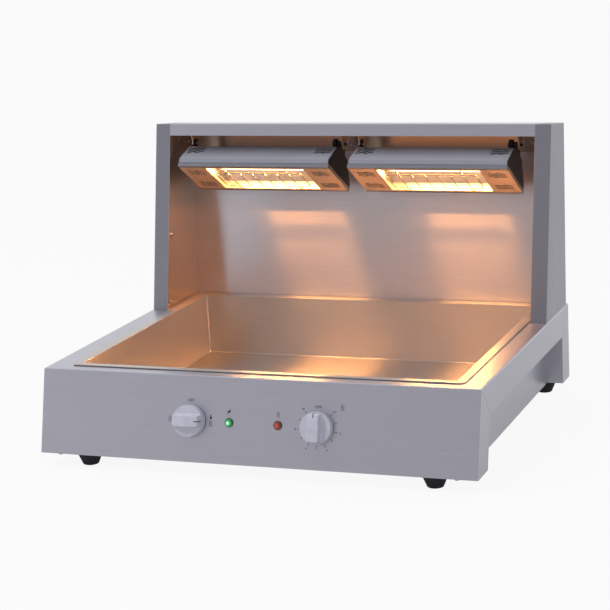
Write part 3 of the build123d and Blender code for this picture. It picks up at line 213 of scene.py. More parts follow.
def panel_matrix(joint):
    """Panel frame at a knob: X right, Y up the slope, Z out of the panel."""
    out = Vector(JOINTS[joint]["axis"]).normalized()
    right = Vector((1, 0, 0))
    up = out.cross(right).normalized()
    turn = Matrix((right, up, out)).transposed().to_4x4()
    return Matrix.Translation(Vector(JOINTS[joint]["pos_m"])) @ turn


class WarmerSheetSettings(bpy.types.PropertyGroup):
    """Sheet metal finishes."""
    line_mm: FloatProperty(
        name="Scratch spacing", description="Drawn spacing of the brush lines in millimetres",
        default=1.3, min=0.2)
    stroke_mm: FloatProperty(
        name="Stroke length", description="Length of a brush stroke in millimetres",
        default=70.0, min=5.0)
    casing_gloss: FloatProperty(
        name="Casing roughness", description="Roughness of the brushed casing and uprights",
        default=0.34, min=0.05, max=1.0, subtype="FACTOR")
    pan_gloss: FloatProperty(
        name="Pan roughness", description="Roughness of the satin pan",
        default=0.30, min=0.05, max=1.0, subtype="FACTOR")
    liner_gloss: FloatProperty(
        name="Liner roughness", description="Roughness of the bright sheet at the canopy's back",
        default=0.29, min=0.05, max=1.0, subtype="FACTOR")


class WarmerPrintSettings(bpy.types.PropertyGroup):
    """Marks printed on the control panel."""
    thickness: FloatProperty(
        name="Ink thickness", description="Height of the ink above the panel",
        default=0.05 * MM, unit="LENGTH")
    tick_inner: FloatProperty(
        name="Tick start", description="Distance from the knob's axis to a tick",
        default=26.2 * MM, unit="LENGTH")
    tick_length: FloatProperty(
        name="Tick length", description="Length of a dial tick",
        default=5.3 * MM, unit="LENGTH")
    tick_width: FloatProperty(
        name="Tick width", description="Width of a dial tick",
        default=0.75 * MM, unit="LENGTH")
    label_out: FloatProperty(
        name="Label distance", description="Distance from the knob's axis to a dial label",
        default=35.6 * MM, unit="LENGTH")
    label_height: FloatProperty(
        name="Label height", description="Height of a dial label's capitals",
        default=3.2 * MM, unit="LENGTH")
    off_up: FloatProperty(
        name="OFF distance", description="Distance from the knob's axis up to the word OFF",
        default=30.6 * MM, unit="LENGTH")
    off_height: FloatProperty(
        name="OFF height", description="Height of the word OFF",
        default=4.2 * MM, unit="LENGTH")
    ticks: IntProperty(
        name="Ticks", description="Number of ticks on the thermostat's dial",
        default=11, min=2, max=11)
    first_angle: FloatProperty(
        name="First tick", description="Angle of the first tick, clockwise from the top",
        default=math.radians(45.8), subtype="ANGLE")
    step_angle: FloatProperty(
        name="Tick step", description="Angle from one tick to the next",
        default=math.radians(27.25), subtype="ANGLE")


class WarmerCoilSettings(bpy.types.PropertyGroup):
    """Quartz tubes and the glowing coils in them."""
    coil_radius: FloatProperty(
        name="Coil radius", description="Middle of the wire to the tube's axis",
        default=2.3 * MM, unit="LENGTH")
    wire_radius: FloatProperty(
        name="Wire radius", description="Radius of the coiled wire",
        default=0.45 * MM, unit="LENGTH")
    pitch: FloatProperty(
        name="Pitch", description="Advance of one turn",
        default=2.6 * MM, unit="LENGTH")
    glow: FloatProperty(
        name="Glow", description="Strength of the coil's own light",
        default=9.0, min=0.0)
    tube_glow: FloatProperty(
        name="Tube glow", description="Strength of the light that fills the quartz",
        default=5.0, min=0.0)


class WarmerStageSettings(bpy.types.PropertyGroup):
    """Floor, light and camera."""
    floor_size: FloatProperty(
        name="Floor size", description="Side of the square floor",
        default=60.0, unit="LENGTH")
    lens: FloatProperty(
        name="Lens", description="Focal length in millimetres",
        default=114.62)
    sensor: FloatProperty(
        name="Sensor", description="Width of the camera's sensor in millimetres",
        default=36.0)
    eye: FloatVectorProperty(
        name="Eye", description="Where the camera stands", size=3,
        default=(1.06973, -2.84823, 0.88414), subtype="TRANSLATION", unit="LENGTH")
    yaw: FloatProperty(
        name="Yaw", description="Turn of the view to the left",
        default=0.3634, subtype="ANGLE")
    pitch: FloatProperty(
        name="Pitch", description="Tilt of the view below level",
        default=0.2211, subtype="ANGLE")
    roll: FloatProperty(
        name="Roll", description="Turn of the picture about the view's axis",
        default=0.0484, subtype="ANGLE")
    lamp_power: FloatProperty(
        name="Lamp power", description="Light thrown by each heat lamp",
        default=1.1, unit="POWER")
    leak_power: FloatProperty(
        name="Leak power", description="Light that leaves the left lamp head by its rear vents",
        default=0.006, unit="POWER")
    leak_more: FloatProperty(
        name="Right leak", description="Times as much light leaves the right lamp head's vents",
        default=3.0, min=0.0)
    lamp_colour: FloatVectorProperty(
        name="Lamp colour", description="Colour of the heat lamps' light", size=3,
        default=(1.0, 0.41, 0.11), min=0.0, max=1.0, subtype="COLOR")


class WARMER_OT_sheet_finish(bpy.types.Operator):
    """Finishes the casing, canopy, pan and lamp sheets as brushed steel."""
    bl_idname = "warmer.sheet_finish"
    bl_label = "Finish the Sheet Metal"

    # Painted warm lamp light covers the face sheet up to the first distance from the tube's axis, and not
    # past the second.
    GLOW_FULL_MM = 52
    GLOW_END_MM = 58
    UPRIGHT = (0, 0, 1)

    def execute(self, context):
        p = context.scene.warmer_sheet
        # Casing sheet: an even grey sheen with fine lines along each face.
        casing = brushed_sheet(p, "stainless_brushed_casing", "#C9C9D1", p.casing_gloss,
                               spread=0.8, smudge=0.03)
        dress(casing, "casing", "side_panel_left", "side_panel_right", "roof", "rear_cover")
        # Uprights: the same brushing as the casing, in a darker grey that is painted shade.
        canopy = brushed_sheet(p, "stainless_brushed_canopy_painted_shade", "#A0A0A8", p.casing_gloss,
                               spread=0.8, smudge=0.03)
        dress(canopy, "upright_left", "upright_right")
        # Pan: a clean satin that draws the lamps' light into long warm patches.
        pan = brushed_sheet(p, "stainless_satin_pan", "#D4CCC4", p.pan_gloss,
                            spread=1.0, smudge=0.005, metal=0.96)
        dress(pan, "pan")
        # Back of the canopy: the brightest sheet, with the lamps' light hanging down it.
        liner = brushed_sheet(p, "stainless_bright_liner", "#E0DCE0", p.liner_gloss,
                              spread=1.0, smudge=0.01, metal=0.96)
        dress(liner, "back_liner")
        # Sides of the canopy and the hood: brushed upwards, their warm brown tint a painted glow of the heat
        # lamps' light.
        side = brushed_sheet(p, "stainless_satin_liner_painted_glow", "#C0AA9A", roughness=0.34,
                             spread=0.8, smudge=0.02, metal=0.92, side=self.UPRIGHT)
        dress(side, "side_liner_left", "side_liner_right", "lamp_hood")
        # Hangers: duller strip, its straw colour a painted glow of the lamps' warm light.
        bracket = brushed_sheet(p, "stainless_satin_bracket_painted_glow", "#E0C4A4", roughness=0.42,
                                spread=0.5, smudge=0.02, metal=0.6, side=self.UPRIGHT)
        dress(bracket, "hanger_left", "hanger_right", "hanger_middle")
        # Lamp housings: a soft grey satin with a clear line of light along each fold.
        lamp = brushed_sheet(p, "stainless_satin_lamp", "#BCBEC6", roughness=0.34,
                             spread=0.7, smudge=0.01)
        dress(lamp, "lamp_left_housing", "lamp_right_housing")
        # Lamp faces: dull sheet, darker than the housings, with a painted glow of the lamps' warm light
        # around the window.
        face = brushed_sheet(p, "stainless_face_painted_glow", "#94959C", roughness=0.40,
                             spread=0.7, smudge=0.02, metal=0.8)
        self.paint_lamp_glow(face)
        dress(face, "lamp_left_face", "lamp_right_face")
        return {"FINISHED"}

    def paint_lamp_glow(self, material):
        """Painted glow: warm lamp light painted around the window, gone at the folded rim."""
        tree = material.node_tree
        low, high = (Vector(corner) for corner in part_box("lamp_left_tube"))
        tube = (low + high) / 2
        place = add_node(tree, "ShaderNodeTexCoord").outputs["Object"]
        across = add_node(tree, "ShaderNodeVectorMath", {0: place, 1: (0, 1, 1)},
                          operation="MULTIPLY").outputs[0]
        out = add_node(tree, "ShaderNodeVectorMath", {0: across, 1: (0, tube.y, tube.z)},
                       operation="DISTANCE").outputs["Value"]
        mask = add_node(tree, "ShaderNodeMapRange", {
            "Value": out, 1: self.GLOW_FULL_MM * MM, 2: self.GLOW_END_MM * MM, 3: 1.0, 4: 0.0}).outputs[0]
        # The warm colour of the painted glow.
        paint_over(material, mask, "#E4C6A8")


class WARMER_OT_lamp_finish(bpy.types.Operator):
    """Finishes the lamps' end plates, reflectors, guards, holders and tubes."""
    bl_idname = "warmer.lamp_finish"
    bl_label = "Finish the Lamp Heads"

    # Lines that drawing leaves in a quartz tube: their length, and their spacing, drawn coarser to show.
    DRAWN_LENGTH_MM = 50.0
    DRAWN_SPACING_MM = 10 / 9
    # Roughness of the quartz, from its clearest place to its dullest.
    DRAWN_ROUGH = {3: 0.03, 4: 0.12}

    def execute(self, context):
        # End plates: dark brown-black, painted shade on steel plates that stand in shadow, with a low sheen.
        ends = grained("end_plate_painted_shade", "#4A3A34", "#2C221E", roughness=0.42, grain_mm=0.8,
                       metallic=0.6, relief=0.05)
        # Reflectors: pale metal that fills the window with soft light.
        reflector = grained("polished_reflector_aluminium", "#EDE6DA", "#DED6C8", roughness=0.44,
                            grain_mm=1.2, metallic=1.0, relief=0.01)
        # Guards: bright wire with small sharp highlights.
        wire = grained("nickel_plated_wire", "#CFC8BE", "#9A9288", roughness=0.22, grain_mm=0.6,
                       metallic=1.0, relief=0.05)
        # Tube holders: cream ceramic, matt and finely pitted.
        holder = grained("steatite_ceramic", "#E6DDCB", "#CBBFA8", roughness=0.6, grain_mm=0.5,
                         relief=0.12, ior=1.55)
        tube = self.quartz(context.scene.warmer_coil.tube_glow)
        for side in SIDES:
            dress(ends, f"lamp_{side}_ends")
            dress(reflector, f"lamp_{side}_reflector")
            dress(wire, f"lamp_{side}_guard")
            dress(holder, f"lamp_{side}_holders")
            dress(tube, f"lamp_{side}_tube")
        return {"FINISHED"}

    def quartz(self, strength):
        """Clear fused quartz with faint drawing lines, filled by the coil's glow."""
        material, tree = new_material("fused_quartz_tube")
        place = add_node(tree, "ShaderNodeTexCoord").outputs["Object"]
        along = 1 / (self.DRAWN_LENGTH_MM * MM)
        across = 1 / (self.DRAWN_SPACING_MM * MM)
        lines = add_node(tree, "ShaderNodeVectorMath", {0: place, 1: (along, across, across)},
                         operation="MULTIPLY").outputs[0]
        drawn = add_node(tree, "ShaderNodeTexNoise", {
            "Vector": lines, "Scale": 1.0, "Detail": 2.0}).outputs["Fac"]
        rough = add_node(tree, "ShaderNodeMapRange", {"Value": drawn, **self.DRAWN_ROUGH}).outputs[0]
        finish_material(tree, add_node(tree, "ShaderNodeBsdfPrincipled", {
            "Base Color": linear("#FFE9C8"), "Roughness": rough, "IOR": 1.46, "Alpha": 0.35,
            "Emission Color": linear("#FFE2B8"), "Emission Strength": lit_length(tree, place, strength)}))
        return material


class WARMER_OT_lamp_coils(bpy.types.Operator):
    """Winds the glowing coil inside each quartz tube."""
    bl_idname = "warmer.lamp_coils"
    bl_label = "Wind the Lamp Coils"

    WIRE_SIDES = 6
    TURN_STEPS = 10
    MERGE = 0.01 * MM
    # The wire's heat wanders over this length.
    HEAT_MM = 30

    def execute(self, context):
        p = context.scene.warmer_coil
        glow = self.glowing_wire(p.glow)
        for side in SIDES:
            low, high = (Vector(corner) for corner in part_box(f"lamp_{side}_filament"))
            middle = (low + high) / 2
            bpy.ops.object.select_all(action="DESELECT")
            bpy.ops.mesh.primitive_circle_add(
                vertices=self.WIRE_SIDES, radius=p.wire_radius, location=(low.x, middle.y, middle.z),
                rotation=(math.pi / 2, 0, 0))
            coil = context.object
            coil.name = f"lamp_{side}_coil"
            bpy.ops.object.transform_apply(location=False, rotation=True, scale=False)
            bpy.ops.object.mode_set(mode="EDIT")
            bpy.ops.mesh.select_all(action="SELECT")
            bpy.ops.transform.translate(value=(p.wire_radius, 0, p.coil_radius))
            bpy.ops.object.mode_set(mode="OBJECT")
            screw = coil.modifiers.new("Winding", "SCREW")
            screw.axis = "X"
            screw.screw_offset = p.pitch
            screw.iterations = int((high.x - low.x - 2 * p.wire_radius) / p.pitch)
            screw.steps = screw.render_steps = self.TURN_STEPS
            bpy.ops.object.modifier_apply(modifier=screw.name)
            bpy.ops.object.mode_set(mode="EDIT")
            bpy.ops.mesh.select_all(action="SELECT")
            bpy.ops.mesh.remove_doubles(threshold=self.MERGE)
            bpy.ops.mesh.select_all(action="DESELECT")
            bpy.ops.mesh.select_non_manifold()
            bpy.ops.mesh.fill_holes(sides=self.WIRE_SIDES)
            bpy.ops.mesh.select_all(action="SELECT")
            bpy.ops.mesh.normals_make_consistent(inside=False)
            bpy.ops.mesh.faces_shade_smooth()
            bpy.ops.object.mode_set(mode="OBJECT")
            bpy.ops.object.transform_apply(location=True, rotation=True, scale=True)
            coil.data.materials.append(glow)
            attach(coil, f"lamp_{side}")
            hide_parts(f"lamp_{side}_filament")
        return {"FINISHED"}

    def glowing_wire(self, strength):
        """Tungsten wire at white heat, a little cooler in places along its length."""
        material, tree = new_material("glowing_tungsten")
        place = add_node(tree, "ShaderNodeTexCoord").outputs["Object"]
        along = add_node(tree, "ShaderNodeTexNoise", {
            "Vector": place, "Scale": 1 / (self.HEAT_MM * MM), "Detail": 1.0}).outputs["Fac"]
        heat = add_node(tree, "ShaderNodeMix", {"Factor": along, 6: linear("#FFB050"), 7: linear("#FFE2B0")},
                        data_type="RGBA").outputs[2]
        finish_material(tree, add_node(tree, "ShaderNodeBsdfPrincipled", {
            "Base Color": linear("#3A3634"), "Metallic": 1.0, "Roughness": 0.5, "Emission Color": heat,
            "Emission Strength": lit_length(tree, place, strength)}))
        return material


class WARMER_OT_control_finish(bpy.types.Operator):
    """Finishes the knobs, pilot lenses, feet and other plastics."""
    bl_idname = "warmer.control_finish"
    bl_label = "Finish the Controls and Feet"

    # The pointer groove in a knob's frame: half its width, its start, and the height of the grip there.
    GROOVE_HALF = 0.7 * MM
    GROOVE_START = 15.2 * MM
    GRIP_HEIGHT = 14.6 * MM
    # A pilot lens: where its brightest spot lies, the rings over which it darkens, and its inner prisms.
    SPOT = Vector((-0.6, 0, -0.5)) * MM
    CORE_RING = {1: 0.8 * MM, 2: 3.4 * MM}
    RIM_RING = {1: 3.8 * MM, 2: 6.8 * MM}
    PRISM = 1.6 * MM
    PRISM_DEPTH = 0.4 * MM

    def execute(self, context):
        dress(self.knob("selector_turn", (1, 0, 0)), "selector_knob")
        dress(self.knob("thermostat_turn", (0, 1, 0)), "thermostat_knob")
        # Black nylon: dark, with a faint moulded texture and a dull shine.
        black = grained("black_moulded_nylon", "#161616", "#0B0B0B", roughness=0.48, grain_mm=0.4,
                        relief=0.1)
        dress(black, "star_knob_left", "star_knob_right", "selector_switch", "thermostat", "terminal_block",
              "cable_gland", "pilot_bodies")
        # Rubber: nearly black and matt.
        rubber = grained("black_moulded_rubber", "#1A1C26", "#0E0F16", roughness=0.72, grain_mm=0.6,
                         relief=0.15)
        dress(rubber, "rubber_feet")
        # Silicone: dark grey, soft sheen.
        pads = grained("grey_silicone", "#3A3A3C", "#2C2C2E", roughness=0.6, grain_mm=0.5, relief=0.1)
        dress(pads, "pan_pads")
        green = self.lens("green_lit_lens", "pilot_lens_power", "#C4FFDA", "#1A9652", "#04301A", glow=0.5)
        dress(green, "pilot_lens_power")
        # The heat pilot is unlit: its lighter core and faint emission are a painted glow.
        red = self.lens("red_unlit_lens_painted_glow", "pilot_lens_heat", "#B8502C", "#8E3016", "#320D07", glow=0.14)
        dress(red, "pilot_lens_heat")
        return {"FINISHED"}

    def knob(self, joint, way):
        """Silver-coloured moulding with a satin skin, dark paint in the groove at the end of its grip."""
        material = grained("silver_moulded_abs", "#D4D4E0", "#C8C8D4", roughness=0.36, grain_mm=0.5,
                           metallic=0.4, relief=0.03, coat=0.3)
        tree = material.node_tree
        matrix = panel_matrix(joint)
        pointer = (matrix.to_3x3() @ Vector(way)).normalized()
        out = matrix.to_3x3() @ Vector((0, 0, 1))
        place = add_node(tree, "ShaderNodeTexCoord").outputs["Object"]
        arm = add_node(tree, "ShaderNodeVectorMath", {0: place, 1: matrix.translation},
                       operation="SUBTRACT").outputs[0]
        reach = [add_node(tree, "ShaderNodeVectorMath", {0: arm, 1: axis},
                          operation="DOT_PRODUCT").outputs["Value"]
                 for axis in (pointer.cross(out), pointer, out)]
        reach[0] = add_node(tree, "ShaderNodeMath", {0: reach[0]}, operation="ABSOLUTE").outputs[0]
        tests = ((self.GROOVE_HALF, "LESS_THAN"), (self.GROOVE_START, "GREATER_THAN"),
                 (self.GRIP_HEIGHT, "GREATER_THAN"))
        groove = 1.0
        for value, (limit, test) in zip(reach, tests):
            mark = add_node(tree, "ShaderNodeMath", {0: value, 1: limit}, operation=test).outputs[0]
            groove = add_node(tree, "ShaderNodeMath", {0: groove, 1: mark}, operation="MULTIPLY").outputs[0]
        paint_over(material, groove, "#5A5A62")
        return material

    def lens(self, name, node, core, body, rim, glow):
        """Tinted polycarbonate dome with prisms inside, lighter in the middle and dark towards its rim: on a
        lit lens that is its bulb's glow, on an unlit one a painted glow.
        """
        low, high = (Vector(corner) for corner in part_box(node))
        axis = Vector(JOINTS["selector_turn"]["axis"])
        material, tree = new_material(name)
        place = add_node(tree, "ShaderNodeTexCoord").outputs["Object"]
        arm = add_node(tree, "ShaderNodeVectorMath", {0: place, 1: (low + high) / 2 + self.SPOT},
                       operation="SUBTRACT").outputs[0]
        arm = add_node(tree, "ShaderNodeVectorMath", {0: arm, 1: axis}, operation="CROSS_PRODUCT").outputs[0]
        out = add_node(tree, "ShaderNodeVectorMath", {0: arm}, operation="LENGTH").outputs["Value"]
        inner = add_node(tree, "ShaderNodeMapRange", {"Value": out, **self.CORE_RING}).outputs[0]
        outer = add_node(tree, "ShaderNodeMapRange", {"Value": out, **self.RIM_RING}).outputs[0]
        middle = add_node(tree, "ShaderNodeMix", {"Factor": inner, 6: linear(core), 7: linear(body)},
                          data_type="RGBA").outputs[2]
        tint = add_node(tree, "ShaderNodeMix", {"Factor": outer, 6: middle, 7: linear(rim)},
                        data_type="RGBA").outputs[2]
        cells = add_node(tree, "ShaderNodeTexVoronoi", {
            "Vector": place, "Scale": 1 / self.PRISM}).outputs["Distance"]
        facets = add_node(tree, "ShaderNodeBump", {
            "Height": cells, "Strength": 0.15, "Distance": self.PRISM_DEPTH}).outputs[0]
        finish_material(tree, add_node(tree, "ShaderNodeBsdfPrincipled", {
            "Base Color": tint, "Roughness": 0.12, "IOR": 1.58, "Normal": facets, "Coat Weight": 0.6,
            "Coat Roughness": 0.05, "Emission Color": tint, "Emission Strength": glow}))
        return material


class WARMER_OT_inside_finish(bpy.types.Operator):
    """Finishes the fixings and what is inside the casing."""
    bl_idname = "warmer.inside_finish"
    bl_label = "Finish the Fixings and Inner Pieces"

    def execute(self, context):
        # Zinc-coated sheet: blue-grey, with a broad mottle.
        zinc = grained("zinc_coated_sheet", "#AEB4B6", "#8E9598", roughness=0.42, grain_mm=6.0,
                       metallic=1.0, relief=0.02)
        dress(zinc, "bottom_plate", "element_strips", "control_nuts")
        # Plated screws: small and bright.
        screw = grained("zinc_plated_screw", "#C4C4C8", "#94949A", roughness=0.28, grain_mm=0.5,
                        metallic=1.0, relief=0.05)
        dress(screw, "foot_screws", "bottom_screws", "liner_screws", "hood_screws", "rear_screws",
              "hanger_screws", "pivot_screws")
        # Drawn shafts: smooth grey steel.
        shaft = grained("drawn_steel_shaft", "#B4B4B8", "#8C8C92", roughness=0.32, grain_mm=0.5,
                        metallic=1.0, relief=0.04)
        dress(shaft, "selector_shaft", "thermostat_shaft")
        # Heater sheath: brown oxide, rough and dull.
        sheath = grained("oxidised_heater_sheath", "#5A4E48", "#3A322E", roughness=0.55, grain_mm=1.0,
                         metallic=0.8, relief=0.1)
        dress(sheath, "base_element")
        # Probe: copper, warm and lightly tarnished.
        copper = grained("drawn_copper", "#C98A66", "#9A6044", roughness=0.35, grain_mm=0.8,
                         metallic=1.0, relief=0.04)
        dress(copper, "thermostat_probe")
        # Insulation: pale pressed fibre with a felted face.
        board = grained("mineral_fibre_board", "#DAD2C2", "#BDB29E", roughness=0.92, grain_mm=1.5,
                        relief=0.35)
        dress(board, "insulation_board")
        return {"FINISHED"}


# Letters are extruded by this much each way while they are made, and their strokes thickened by this share.
LETTER_HALF = 0.5
LETTER_BOLD = 0.012
# A heat sign, as shares of its size: its waves' gap, height and swing, and half the width of its plates.
WAVE_GAP = 0.24
WAVE_HEIGHT = 0.74
WAVE_SWING = 0.05
PLATE_HALF = 0.36
# A wave goes through one full turn and a half.
WAVE_TURN = 3 * math.pi


def printed_text(context, body, height, x, y, thickness):
    """A word of ink as a flat mesh, its capitals as high as height, centred on a place of the panel."""
    bpy.ops.object.select_all(action="DESELECT")
    bpy.ops.object.text_add(location=(0, 0, 0))
    text = context.object
    text.data.body = body
    text.data.align_x = "CENTER"
    text.data.align_y = "CENTER"
    text.data.extrude = LETTER_HALF
    text.data.offset = LETTER_BOLD
    text.data.resolution_u = 4
    bpy.ops.object.convert(target="MESH")
    text = context.object
    xs, ys = ([v.co[i] for v in text.data.vertices] for i in (0, 1))
    scale = height / (max(ys) - min(ys))
    middle = Vector(((max(xs) + min(xs)) / 2, (max(ys) + min(ys)) / 2, -LETTER_HALF))
    for v in text.data.vertices:
        off = v.co - middle
        v.co = (off.x * scale + x, off.y * scale + y, off.z * thickness)
    return text


def printed_shape(context, points, thickness):
    """A closed ink shape from its outline in the panel frame."""
    bpy.ops.object.select_all(action="DESELECT")
    bpy.ops.mesh.primitive_circle_add(vertices=len(points), radius=1.0, fill_type="NGON", location=(0, 0, 0))
    shape = context.object
    for v, (x, y) in zip(shape.data.vertices, points):
        v.co = (x, y, 0)
    bpy.ops.object.mode_set(mode="EDIT")
    bpy.ops.mesh.select_all(action="SELECT")
    bpy.ops.mesh.extrude_region_move(TRANSFORM_OT_translate={"value": (0, 0, thickness)})
    bpy.ops.mesh.select_all(action="SELECT")
    bpy.ops.mesh.normals_make_consistent(inside=False)
    bpy.ops.object.mode_set(mode="OBJECT")
    return shape


def stroke(points, width):
    """Outline of an ink line of one width along some points."""
    left, right = [], []
    for i, (x, y) in enumerate(points):
        x0, y0 = points[max(i - 1, 0)]
        x1, y1 = points[min(i + 1, len(points) - 1)]
        length = math.hypot(x1 - x0, y1 - y0)
        nx = -(y1 - y0) / length * width / 2
        ny = (x1 - x0) / length * width / 2
        left.append((x + nx, y + ny))
        right.append((x - nx, y - ny))
    return left + right[::-1]


def wave_line(x, y, height, swing, steps=16):
    """Points of a rising wave."""
    points = []
    for i in range(steps + 1):
        share = i / steps
        points.append((x + swing * math.sin(WAVE_TURN * share), y + height * (share - 0.5)))
    return points


def heat_sign(x_mm, y_mm, size_mm, width_mm):
    """Outlines of a heat pictogram: three rising waves between two plates, higher than wide."""
    x, y, size, width = (value * MM for value in (x_mm, y_mm, size_mm, width_mm))
    shapes = []
    for k in (-1, 0, 1):
        wave = wave_line(x + size * WAVE_GAP * k, y, size * WAVE_HEIGHT, size * WAVE_SWING)
        shapes.append(stroke(wave, width))
    half = size * PLATE_HALF
    for level in (y - size / 2, y + size / 2):
        shapes.append(stroke([(x - half, level), (x + half, level)], width))
    return shapes


def join_print(context, pieces, name, matrix, ink):
    """Joins ink shapes into one piece, lays it on the panel and rides it on the base."""
    bpy.ops.object.select_all(action="DESELECT")
    for piece in pieces:
        piece.select_set(True)
    context.view_layer.objects.active = pieces[0]
    bpy.ops.object.join()
    sheet = context.object
    sheet.name = name
    sheet.data.materials.clear()
    sheet.data.materials.append(ink)
    sheet.matrix_world = matrix
    bpy.ops.object.transform_apply(location=True, rotation=True, scale=True)
    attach(sheet, "base")


class WARMER_OT_dial_print(bpy.types.Operator):
    """Prints the thermostat's dial: ticks, numbers and the words LO, HI and OFF."""
    bl_idname = "warmer.dial_print"
    bl_label = "Print the Thermostat Dial"

    # Labels of every second tick.
    LABELS = ("LO", "2", "4", "6", "8", "HI")
    # Place in the dial's frame, size and line width of the heat sign, in millimetres.
    HEAT_SIGN = (37.4, 31.4, 8.0, 0.6)

    def execute(self, context):
        p = context.scene.warmer_print
        pieces = []
        for k in range(p.ticks):
            angle = p.first_angle + k * p.step_angle
            way = (math.sin(angle), math.cos(angle))
            ends = [(way[0] * r, way[1] * r) for r in (p.tick_inner, p.tick_inner + p.tick_length)]
            pieces.append(printed_shape(context, stroke(ends, p.tick_width), p.thickness))
            if k % 2 == 0:
                pieces.append(printed_text(context, self.LABELS[k // 2], p.label_height,
                                           way[0] * p.label_out, way[1] * p.label_out, p.thickness))
        pieces.append(printed_text(context, "OFF", p.off_height, 0, p.off_up, p.thickness))
        for shape in heat_sign(*self.HEAT_SIGN):
            pieces.append(printed_shape(context, shape, p.thickness))
        # Screen-printed ink: dark, slightly glossy, a touch thin where the mesh left it.
        ink = grained("dark_panel_ink", "#2A2A2C", "#1A1A1C", roughness=0.45, grain_mm=0.3, relief=0.05)
        join_print(context, pieces, "thermostat_print", panel_matrix("thermostat_turn"), ink)
        return {"FINISHED"}


class WARMER_OT_selector_print(bpy.types.Operator):
    """Prints the selector's word OFF, its pictograms and those over the pilot lights."""
    bl_idname = "warmer.selector_print"
    bl_label = "Print the Selector Marks"

    # Places in the selector's frame and sizes of the pictograms, in millimetres. The heat signs at the
    # knob's right and left and over the heat pilot end with their line width.
    HEAT_SIGNS = ((33.0, -2.9, 7.6, 0.6), (-33.4, 1.0, 7.8, 0.55), (141.0, 16.4, 7.0, 0.5))
    BULB = (33.2, 6.8, 7.0)
    BOLT = (62.6, 16.6, 9.2)
    # Outline of the bolt, as shares of its size.
    BOLT_OUTLINE = ((0.40, 0.5), (-0.38, -0.06), (-0.10, -0.12), (-0.36, -0.5), (0.38, 0.06), (0.10, 0.12))
    # The bulb's glass and neck, as shares of its size, and the arc of its glass in degrees.
    GLASS_RADIUS = 0.27
    GLASS_DROP = 0.22
    NECK_HALF = 0.12
    GLASS_START = 60
    GLASS_TURN = 300
    GLASS_STEPS = 16

    def execute(self, context):
        p = context.scene.warmer_print
        ink = bpy.data.materials["dark_panel_ink"]
        pieces = [printed_text(context, "OFF", p.off_height, 0, p.off_up, p.thickness)]
        signs = [shape for sign in self.HEAT_SIGNS for shape in heat_sign(*sign)]
        signs += [self.bulb(*self.BULB), self.bolt(*self.BOLT)]
        pieces += [printed_shape(context, shape, p.thickness) for shape in signs]
        join_print(context, pieces, "selector_print", panel_matrix("selector_turn"), ink)
        return {"FINISHED"}

    def bulb(self, x, y, size):
        """Outline of a lamp bulb pictogram, its neck up."""
        outline = []
        for i in range(self.GLASS_STEPS + 1):
            angle = math.radians(self.GLASS_START - self.GLASS_TURN * i / self.GLASS_STEPS)
            outline.append((self.GLASS_RADIUS * math.cos(angle),
                            self.GLASS_RADIUS * math.sin(angle) - self.GLASS_DROP))
        outline += [(-self.NECK_HALF, 0.5), (self.NECK_HALF, 0.5)]
        return [((x + size * u) * MM, (y + size * v) * MM) for u, v in outline]

    def bolt(self, x, y, size):
        """Outline of a lightning bolt pictogram, leaning to the right."""
        return [((x + size * u) * MM, (y + size * v) * MM) for u, v in self.BOLT_OUTLINE]


